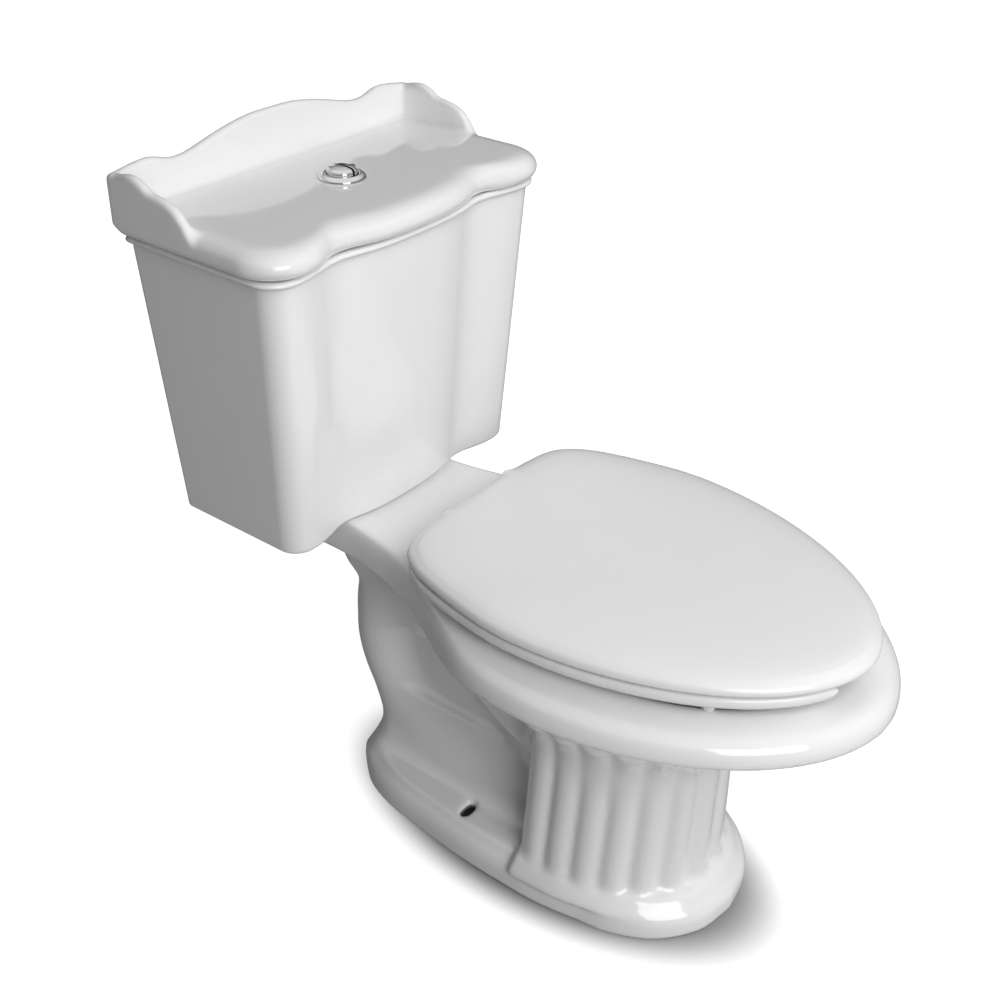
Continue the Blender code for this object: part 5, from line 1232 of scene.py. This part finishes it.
@dataclass
class TankLid:
    """The lid: a bullnosed slab with a raised gallery round its back and ends.

    The edge's rows are shares of its thickness and of the bullnose. Those of back and wing are shares of the
    way along the wall and of its height.
    """

    step: float = 0.0020
    base: float = 0.7080
    thick: float = 0.030
    shape: Serpentine = Serpentine()
    bullnose: float = 0.011
    slab: tuple[float, float, float, float, float] = (0.211, 0.218, 0.011, 0.040, 0.004)
    wall: float = 0.013
    wall_height: float = 0.055
    wall_root: float = 0.014
    wing_length: float = 0.117
    half_width: float = 0.222
    limit_across: float = 0.2215
    limit_behind: float = 0.3995
    tank_gap: float = 0.013
    rib_low: float = -0.008
    rib_high: float = 0.010
    rib_wall: float = 0.006
    ceiling: float = 0.018
    hole_radius: float = 0.0207
    hole_depth: float = 0.110
    wall_blend: float = 0.008
    hollow_edge: float = 0.003
    hole_edge: float = 0.001
    far: float = 0.1
    edge: Rows = (
        (0.0, -0.55), (0.03, -0.08), (0.075, 0.26), (0.2, 0.72), (0.4, 1.0), (0.56, 0.99), (0.7, 0.82),
        (0.83, 0.45), (0.93, -0.1), (0.985, -0.8), (1.0, -1.5),
    )
    back: Rows = (
        (0.0, 1.0), (0.13, 0.99), (0.26, 0.92), (0.38, 0.815), (0.48, 0.71), (0.56, 0.64), (0.625, 0.625),
        (0.68, 0.665), (0.745, 0.745), (0.8, 0.76), (0.87, 0.735), (0.94, 0.69), (1.0, 0.65),
    )
    wing: Rows = (
        (0.0, 0.65), (0.08, 0.665), (0.17, 0.7), (0.26, 0.74), (0.35, 0.735), (0.45, 0.65), (0.53, 0.545),
        (0.64, 0.505), (0.75, 0.455), (0.84, 0.365), (0.915, 0.215), (0.97, 0.05), (1.0, -0.12),
    )

    def wall_shell(self, rows: Iterable[Sequence[float]]) -> Shell:
        """A stretch of wall with a half-round top.

        Args:
            rows: Outer foot across and in depth, outward direction across and in depth, and height share.

        Returns:
            The shell.
        """
        tops = [(0.5 - 0.5 * math.cos(t), 0.5 * (1 - math.sin(t))) for t in np.linspace(0, math.pi, 11)]
        root = self.base + self.wall_root
        rings = []
        for x, u, dx, du, height in rows:
            top = self.base + self.thick + self.wall_height * height
            ring = [(0.0, root)] + [(a, top - self.wall * d) for a, d in tops] + [(1.0, root)]
            rings.append(np.array([
                (x - dx * self.wall * a, WALL_Y - (u - du * self.wall * a), z) for a, z in ring
            ]))
        return loft(rings)

    def gallery(self, field: Field) -> np.ndarray:
        """Distances to the gallery's back wall and its two wings, whose tops rise and fall.

        Args:
            field: The grid.

        Returns:
            The distances.
        """
        back = through(self.back, 6)
        line = np.vstack([back[:0:-1] * (-1, 1), back])
        walls = field.of(self.wall_shell([(self.half_width * s, 0.0, 0.0, -1.0, h) for s, h in line]))
        for side in Side:
            end = side.value * self.half_width
            rows = [(end, self.wing_length * s, side.value, 0.0, h) for s, h in through(self.wing, 6)]
            walls = joined(walls, field.of(self.wall_shell(rows)))
        return walls

    def build(self) -> None:
        """Casts the slab and its gallery in one field, hollows it below and pierces it for the button."""
        field = Field(low=(-0.223, 0.165, 0.699), high=(0.223, 0.401, 0.794), step=self.step, reach=0.020)
        slab = field.of(loft([
            level(self.shape.plan(*self.slab, self.bullnose * out), self.base + self.thick * z)
            for z, out in through(self.edge, 5)
        ]))
        lid = joined(slab, self.gallery(field), self.wall_blend)
        lid = np.maximum(lid, abs(field.axis(0)) - self.limit_across)
        lid = np.maximum(lid, field.axis(1) - self.limit_behind)
        tank = Tank()
        inside = tank.plan(tank.base + tank.height, -self.tank_gap)
        lid = joined(lid, field.of(prism(inside, self.base + self.rib_low, self.base + self.rib_high)))
        hollow = prism(grown(inside, -self.rib_wall), self.base - self.far, self.base + self.ceiling)
        lid = cleared(lid, field.of(hollow), self.hollow_edge)
        hole = [(0, -self.far), (self.hole_radius, -self.far), (self.hole_radius, self.far), (0, self.far)]
        lid = cleared(lid, field.of(turned(hole, spot(0, self.hole_depth, self.base))), self.hole_edge)
        points, faces = field.skin(lid, 2)
        fit(mesh_object("tank_lid_china", points, faces), CHINA, "lid", "tank_lid")


# Seat and cover


@dataclass
class SeatSet:
    """The open-front seat and the cover over it, with their hinge lugs.

    The rows of both backs are shares of the way to the rear and of the half width, the crown's of its height
    and of the plan. The seat edge's are shares of its height, and growth in metres.
    """

    step: float = 0.0022
    seat_base: float = 0.382
    seat_top: float = 0.403
    cover_base: float = 0.4065
    half_width: float = 0.187
    centre: float = 0.475
    front: float = 0.775
    front_power: float = 1.88
    rear: float = 0.294
    seat_back: Rows = (
        (0.0, 1.0), (0.18, 0.992), (0.48, 0.945), (0.7, 0.885), (0.84, 0.815), (0.915, 0.745),
        (0.96, 0.66), (0.988, 0.56), (1.0, 0.43),
    )
    cover_back: Rows = (
        (0.0, 1.0), (0.14, 0.992), (0.27, 0.971), (0.4, 0.945), (0.53, 0.915), (0.67, 0.875),
        (0.77, 0.835), (0.85, 0.785), (0.905, 0.735), (0.94, 0.68), (0.967, 0.6), (0.986, 0.46),
        (1.0, 0.3),
    )
    crown: Rows = (
        (0.0, 0.99), (0.05, 0.996), (0.14, 1.0), (0.3, 0.999), (0.44, 0.993), (0.56, 0.982),
        (0.68, 0.962), (0.78, 0.932), (0.87, 0.87), (0.94, 0.76), (0.98, 0.6), (1.0, 0.35),
    )
    crown_height: float = 0.021
    seat_edge: Rows = (
        (0.0, -0.016), (0.06, -0.0135), (0.2, -0.0105), (0.45, -0.0065), (0.75, -0.004), (0.88, -0.0048),
        (0.96, -0.0075), (1.0, -0.012),
    )
    ring_width: float = 0.076
    hole_rear: float = 0.412
    hole_shift: float = 0.038
    gap_half_width: float = 0.036
    gap_front: float = 0.80
    gap_blend: float = 0.012
    notch: tuple[float, float, float] = (0.100, 0.270, 0.322)
    opening_edge: float = 0.008
    notch_edge: float = 0.004
    cover_wall: float = 0.008
    cover_ceiling: float = 0.010
    hollow_edge: float = 0.003
    seat_lug_blend: float = 0.003
    cover_lug_blend: float = 0.002
    cover_arm_low: float = -0.0015
    cover_arm_high: float = 0.012
    hinge: tuple[float, float] = (0.300, 0.3965)
    hinge_half_spacing: float = 0.070
    lug_gap: float = 0.0106
    lug_width: float = 0.011
    lug_radius: float = 0.0095
    lug_reach: float = 0.040
    arm_half_height: float = 0.0057
    pin_radius: float = 0.0038
    pin_reach: float = 0.140
    through_low: float = 0.36
    through_high: float = 0.43

    def plan(self, rear: Sequence[tuple[float, float]], grow: float = 0.0) -> Plan:
        """Plan of seat or cover from the rows of its rear half, grown all round."""
        front = quarter(self.half_width, self.centre, self.front, self.front_power, 72)
        reach = self.centre - self.rear
        back = through([(self.half_width * w, self.centre - reach * s) for s, w in rear], 6)
        plan = whole(np.vstack([front, back[1:], [(0, self.rear)]]), 640)
        return grown(plan, grow) if grow else plan

    def lug(self, side: Side, inward: int, low: float, high: float) -> Shell:
        """A hinge lug: a knuckle round the hinge's axis with an arm into its leaf.

        Args:
            side: Which hinge.
            inward: 1 for the cover's lug between the posts, -1 for the seat's outside them.
            low: Underside of its arm.
            high: Top of its arm.

        Returns:
            The shell.
        """
        radius = self.lug_radius
        near = self.hinge_half_spacing - inward * self.lug_gap
        left, right = sorted((side.value * near, side.value * (near - inward * self.lug_width)))
        start = math.degrees(math.asin(min(1, (high - self.hinge[1]) / radius)))
        end = 360 + math.degrees(math.asin((low - self.hinge[1]) / radius))
        knuckle = [tuple(point) for point in arc(self.hinge, radius, start, end, 28)]
        if high > self.hinge[1] + radius:
            edge = self.hinge[0] - radius
            knuckle = [(edge, high)] + [p for p in knuckle[1:] if p[0] > edge or p[1] < self.hinge[1]]
        tip = self.hinge[0] + self.lug_reach
        return cross_block(knuckle + [(tip, low), (tip, high)], left, right)

    def pin_hole(self) -> Shell:
        """The bore for both hinge pins."""
        radius, reach = self.pin_radius, self.pin_reach
        profile = [(0, -reach), (radius, -reach), (radius, reach), (0, reach)]
        return turned(profile, spot(0, *self.hinge), 32, Axis.ACROSS)

    def cut_through(self, plan: Plan) -> Shell:
        """A plan's prism, through the whole height of the seat."""
        return prism(plan, self.through_low, self.through_high)

    def cut(self, half_width: float, rear: float, front: float) -> Shell:
        """A square-cornered cut through the seat."""
        plan = [(half_width, rear), (half_width, front), (-half_width, front), (-half_width, rear)]
        return self.cut_through(np.array(plan))

    def build_seat(self) -> None:
        """Moulds the seat ring, rounded all round, with its gap in front and its lugs behind."""
        field = Field(low=(-0.190, -0.375, 0.377), high=(0.190, 0.116, 0.410), step=self.step, reach=0.020)
        height = self.seat_top - self.seat_base
        seat = field.of(loft([
            level(self.plan(self.seat_back, grow), self.seat_base + height * z)
            for z, grow in through(self.seat_edge, 5)
        ]))
        width, front = self.half_width - self.ring_width, self.front - self.ring_width
        hole = egg(width, front, self.hole_rear, self.centre + self.hole_shift)
        gap = self.cut(self.gap_half_width, self.centre, self.gap_front)
        opening = joined(field.of(self.cut_through(hole)), field.of(gap), self.gap_blend)
        seat = cleared(seat, opening, self.opening_edge)
        seat = cleared(seat, field.of(self.cut(*self.notch)), self.notch_edge)
        low, high = self.hinge[1] - self.arm_half_height, self.hinge[1] + self.arm_half_height
        for side in Side:
            seat = joined(seat, field.of(self.lug(side, -1, low, high)), self.seat_lug_blend)
        seat = cleared(seat, field.of(self.pin_hole()))
        points, faces = field.skin(seat, 1)
        fit(mesh_object("seat_moulding", points, faces), SEAT_PLASTIC, "seat", "seat")

    def build_cover(self) -> None:
        """Moulds the crowned cover, hollow below, with its lugs."""
        field = Field(low=(-0.190, -0.377, 0.386), high=(0.190, 0.116, 0.429), step=self.step, reach=0.020)
        middle = (self.front + self.rear) / 2
        plan = self.plan(self.cover_back)
        cover = field.of(loft([
            level((plan - (0, middle)) * size + (0, middle), self.cover_base + self.crown_height * rise)
            for rise, size in through(self.crown, 5)
        ]))
        inside = self.plan(self.cover_back, -self.cover_wall)
        hollow = prism(inside, self.through_low, self.cover_base + self.cover_ceiling)
        cover = cleared(cover, field.of(hollow), self.hollow_edge)
        low, high = self.cover_base + self.cover_arm_low, self.cover_base + self.cover_arm_high
        for side in Side:
            cover = joined(cover, field.of(self.lug(side, 1, low, high)), self.cover_lug_blend)
        cover = cleared(cover, field.of(self.pin_hole()))
        points, faces = field.skin(cover, 2)
        fit(mesh_object("cover_moulding", points, faces), SEAT_PLASTIC, "cover", "seat_cover")

    def build(self) -> None:
        """Makes seat and cover."""
        self.build_seat()
        self.build_cover()


# The dual flush button


@dataclass
class FlushButton:
    """The chrome bezel in the lid and the springs under its two half-round buttons."""

    depth: float = 0.110
    seat: float = 0.7383
    neck_radius: float = 0.0195
    bore_radius: float = 0.0175
    neck_length: float = 0.030
    dome: Rows = (
        (0.0262, 0.0), (0.026, 0.001), (0.0248, 0.0026), (0.023, 0.0038), (0.0208, 0.0045),
        (0.019, 0.0044), (0.0178, 0.0038), (0.0175, 0.0028),
    )
    sharp_degrees: float = 50
    coil_across: float = 0.0095
    coil_depth: float = 0.116
    coil_bottom: float = 0.7066
    coil_top: float = 0.7390

    def build(self) -> None:
        """Turns the bezel with soft edges and winds a spring under each button."""
        centre = spot(0, self.depth, self.seat)
        dome = [tuple(point) for point in through(self.dome, 4)]
        neck = [(self.neck_radius, -self.neck_length), (self.neck_radius, 0.0)]
        profile = neck + dome + [(self.bore_radius, -self.neck_length)]
        made = mesh_object("button_bezel_dome", *turned(profile, centre, 96))
        made.data.set_sharp_from_angle(angle=math.radians(self.sharp_degrees))
        fit(made, CHROME, "lid", "button_bezel")
        for side, label in ((Side.RIGHT, "full"), (Side.LEFT, "half")):
            foot = spot(side.value * self.coil_across, self.coil_depth, 0.0)
            spring = Spring(foot, self.coil_bottom, self.coil_top)
            spring.build(f"{label}_button_coil", "lid", f"{label}_button_spring", f"{label}_button_press")


# Springs


@dataclass
class Spring:
    """A coil spring round a push rod, swept by a geometry tree."""

    centre: Vector
    bottom: float
    top: float
    radius: float = 0.0048
    wire: float = 0.0007
    turns: float = 4.0
    stroke: float = 0.006

    def build(self, name: str, body: str, replaced: str, joint: str) -> None:
        """Winds the spring.

        Args:
            name: The piece's name.
            body: The body that it rides on.
            replaced: The node that it stands for.
            joint: The joint that presses it. Not used.
        """
        sizes: Sizes = {
            "Turns": self.turns,
            "Radius": self.radius,
            "Wire radius": self.wire,
            "Height": self.top - self.bottom - 2 * self.wire,
        }
        tree, given = sized_tree(name, sizes)
        size = given.outputs
        course = {
            "Resolution": 24,
            "Rotations": size["Turns"],
            "Start Radius": size["Radius"],
            "End Radius": size["Radius"],
            "Height": size["Height"],
        }
        spiral = node(tree, "GeometryNodeCurveSpiral", course)
        round_wire = {"Resolution": 8, "Radius": size["Wire radius"]}
        wire = node(tree, "GeometryNodeCurvePrimitiveCircle", round_wire)
        coil = node(
            tree,
            "GeometryNodeCurveToMesh",
            {"Curve": spiral.outputs[0], "Profile Curve": wire.outputs[0], "Fill Caps": True},
        )
        made = grow_tree(name, tree, coil.outputs[0], sizes, STEEL.material())
        made.data.transform(Matrix.Translation((self.centre.x, self.centre.y, self.bottom + self.wire)))
        fit(made, STEEL, body, replaced)
        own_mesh(made)


# Pieces whose solids already have the right shape


def pair(*names: str) -> tuple[str, ...]:
    """The left and the right node of each name."""
    return tuple(f"{name}_{side.name.lower()}" for name in names for side in Side)


KEPT: dict[Finish, tuple[str, ...]] = {
    SEAT_PLASTIC: pair("hinge_post", "hinge_nut"),
    PALE_RUBBER: pair("seat_bumper_front", "seat_bumper_rear", "cover_bumper"),
    RUBBER: (
        "tank_gasket", *pair("tank_washer"), "flush_valve_washer", "plug_seal", "fill_valve_washer",
        "refill_hose",
    ),
    BRASS: pair("tank_bolt", "tank_nut"),
    WHITE_RESIN: (
        "flush_valve_body", "flush_valve_nut", "flush_plug", "flush_rocker", "half_flush_float",
        "fill_valve_body", "fill_valve_nut", "button_nut",
    ),
    GREY_RESIN: ("fill_valve_cap", "fill_valve_float", "float_arm"),
    CHROME: ("full_flush_button", "half_flush_button"),
    STEEL: (*pair("hinge_pin"), "rocker_pin"),
}


def dress_kept_nodes() -> None:
    """Gives each solid that stays its finish."""
    for finish, names in KEPT.items():
        for name in names:
            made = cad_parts[name]
            made.data.materials.clear()
            made.data.materials.append(finish.material())
            LOG.info("%s: %s", name, finish.name)


# Floor, light and camera


@dataclass
class Studio:
    """A plain pale floor, soft lamps and the camera.

    The floor's glow rises from near_glow to full between two distances in metres. It fades out between two
    multiples of an oval round the foot, set off to the front left: painted contact shadow, and painted shade
    in the bolt slots. The softbox runs from horizon to mirrored between two heights of its rays.
    """

    azimuth: float = -52.86
    elevation: float = 32.14
    roll: float = 1.09
    distance: float = 1.58387
    focal_px: float = 1370.76
    target: tuple[float, float, float] = (0.04477, 0.10546, 0.38239)
    photo_px: float = 1000
    sensor_mm: float = 36.0
    bounce: float = 0.13
    mirrored: float = 1.0
    near_glow: float = 0.93
    glow_from_to: tuple[float, float] = (0.35, 0.95)
    # Multiples of the foot's oval over which the painted contact shadow fades out
    painted_shadow_from_to: tuple[float, float] = (0.93, 1.32)
    horizon: float = 0.12
    softbox_from_to: tuple[float, float] = (0.15, 0.85)
    floor_half: float = 6
    floor_lit: str = "#888888"
    floor_seen: str = "#909090"
    # Name, degrees round from the front towards +X, degrees up, side in metres, watts, seen in gloss
    lamps: tuple[tuple[str, float, float, float, float, bool], ...] = (
        ("key_low", -30, 20, 1.8, 42, True),
        ("key_high", -30, 48, 1.8, 27, False),
        ("fill_right", 30, 48, 2.0, 38, False),
        ("rim_back", 120, 48, 1.8, 13, False),
    )
    lamp_target: tuple[float, float, float] = (0.0, 0.0, 0.35)
    lamp_distance: float = 3.0
    # Centre and half sizes of the oval of painted contact shadow round the foot
    painted_shadow_centre: tuple[float, float] = (-0.006, -0.030)
    painted_shadow_half: tuple[float, float] = (0.130, 0.247)

    @staticmethod
    def outward(azimuth: float, elevation: float) -> Vector:
        """Direction from the toilet towards a place that many radians round from its front and up."""
        flat = math.cos(elevation)
        return Vector((math.sin(azimuth) * flat, -math.cos(azimuth) * flat, math.sin(elevation)))

    def camera(self) -> None:
        """Stands the camera where the photograph was taken from."""
        a, e, r = (math.radians(v) for v in (self.azimuth, self.elevation, self.roll))
        back = self.outward(a, e)
        right = Vector((math.cos(a), math.sin(a), 0))
        up = back.cross(right)
        tilted = right * math.cos(r) + up * math.sin(r)
        upright = back.cross(tilted)
        data = bpy.data.cameras.new("camera")
        data.sensor_width = self.sensor_mm
        data.lens = self.focal_px * self.sensor_mm / self.photo_px
        data.clip_end = 20
        made = bpy.data.objects.new("camera", data)
        rows = Matrix((tilted, upright, back)).transposed().to_4x4()
        rows.translation = Vector(self.target) + back * self.distance
        made.matrix_world = rows
        bpy.context.scene.collection.objects.link(made)
        bpy.context.scene.camera = made

    def lamp(
        self, name: str, azimuth: float, elevation: float, size: float, power: float, mirrored: bool
    ) -> None:
        """Adds a soft square lamp that faces the toilet's middle.

        Args:
            name: Its name.
            azimuth: Degrees round from the toilet's front, towards +X.
            elevation: Degrees above its middle.
            size: Its side in metres.
            power: Its power in watts.
            mirrored: Whether glossy surfaces show it.
        """
        data = bpy.data.lights.new(name, "AREA")
        data.size = size
        data.energy = power
        made = bpy.data.objects.new(name, data)
        back = self.outward(math.radians(azimuth), math.radians(elevation))
        made.location = Vector(self.lamp_target) + back * self.lamp_distance
        made.rotation_euler = back.to_track_quat("Z", "Y").to_euler()
        made.visible_glossy = mirrored
        bpy.context.scene.collection.objects.link(made)

    def floor(self) -> None:
        """Lays a pale floor, white far off, that keeps the shadow near and gets a painted contact shadow."""
        shape = bmesh.new()
        bmesh.ops.create_grid(shape, x_segments=1, y_segments=1, size=self.floor_half)
        mesh = bpy.data.meshes.new("floor")
        shape.to_mesh(mesh)
        shape.free()
        made = bpy.data.objects.new("floor", mesh)
        bpy.context.scene.collection.objects.link(made)
        surface = bpy.data.materials.new("pale_floor")
        surface.use_nodes = True
        tree = surface.node_tree
        shader = tree.nodes["Principled BSDF"]
        shader.inputs["Roughness"].default_value = 0.9
        shader.inputs["Specular IOR Level"].default_value = 0.1
        seen = node(tree, "ShaderNodeLightPath").outputs["Is Camera Ray"]
        tint = blended(tree, seen, linear(self.floor_lit), linear(self.floor_seen))
        tree.links.new(tint, shader.inputs["Base Color"])
        place = node(tree, "ShaderNodeTexCoord").outputs["Object"]
        away = node(tree, "ShaderNodeVectorMath", {0: place}, operation="LENGTH").outputs["Value"]
        far = ranged(tree, away, self.glow_from_to, (self.near_glow, 1.0), "SMOOTHSTEP")
        # No glow under the plinth and little beside it, in an oval set off to the front left:
        # painted shade in the bolt slots and a painted contact shadow round the foot
        wide, long = self.painted_shadow_half
        shift = (-self.painted_shadow_centre[0] / wide, -self.painted_shadow_centre[1] / long, 0.0)
        oval = node(
            tree,
            "ShaderNodeVectorMath",
            {0: place, 1: (1 / wide, 1 / long, 1.0), 2: shift},
            operation="MULTIPLY_ADD",
        )
        beside = node(tree, "ShaderNodeVectorMath", {0: oval.outputs[0]}, operation="LENGTH").outputs["Value"]
        # The glow is cut inside the oval: painted shadow round the foot and painted shade in the slots
        clear = ranged(tree, beside, self.painted_shadow_from_to, (0.0, 1.0), "SMOOTHSTEP")
        shown = worked(tree, "MULTIPLY", far, clear)
        lift = node(tree, "ShaderNodeMix", {"Factor": seen, 2: self.bounce, 3: shown}, data_type="FLOAT")
        glow = node(tree, "ShaderNodeEmission", {"Color": WHITE, "Strength": lift.outputs[0]})
        both = node(tree, "ShaderNodeAddShader", {0: shader.outputs[0], 1: glow.outputs[0]})
        tree.links.new(both.outputs[0], tree.nodes["Material Output"].inputs["Surface"])
        mesh.materials.append(surface)

    def world(self) -> None:
        """Sets a world that is white where it is seen, paler in reflections, and gives no other light."""
        world = bpy.data.worlds.new("white_backdrop")
        bpy.context.scene.world = world
        world.use_nodes = True
        tree = world.node_tree
        tree.nodes.clear()
        path = node(tree, "ShaderNodeLightPath").outputs
        toward = node(tree, "ShaderNodeTexCoord").outputs["Generated"]
        height = node(tree, "ShaderNodeSeparateXYZ", {0: toward}).outputs["Z"]
        # The softbox overhead: dark at the horizon and below, full near the zenith
        softbox = ranged(tree, height, self.softbox_from_to, (self.horizon, self.mirrored), "SMOOTHSTEP")
        strength = worked(tree, "MULTIPLY_ADD", path["Is Glossy Ray"], softbox, path["Is Camera Ray"])
        back = node(tree, "ShaderNodeBackground", {"Color": WHITE, "Strength": strength})
        node(tree, "ShaderNodeOutputWorld", {"Surface": back.outputs[0]})

    def build(self) -> None:
        """Sets the stage."""
        self.floor()
        self.world()
        for lamp in self.lamps:
            self.lamp(*lamp)
        self.camera()
        bpy.context.scene.view_settings.view_transform = "Standard"


def main() -> None:
    """Builds every sub-assembly in order."""
    logging.basicConfig(level=logging.INFO, format="%(name)s %(message)s")
    for assembly in (Bowl(), Tank(), TankLid(), SeatSet(), FlushButton()):
        assembly.build()
    dress_kept_nodes()
    Studio().build()


if __name__ == "__main__":
    main()
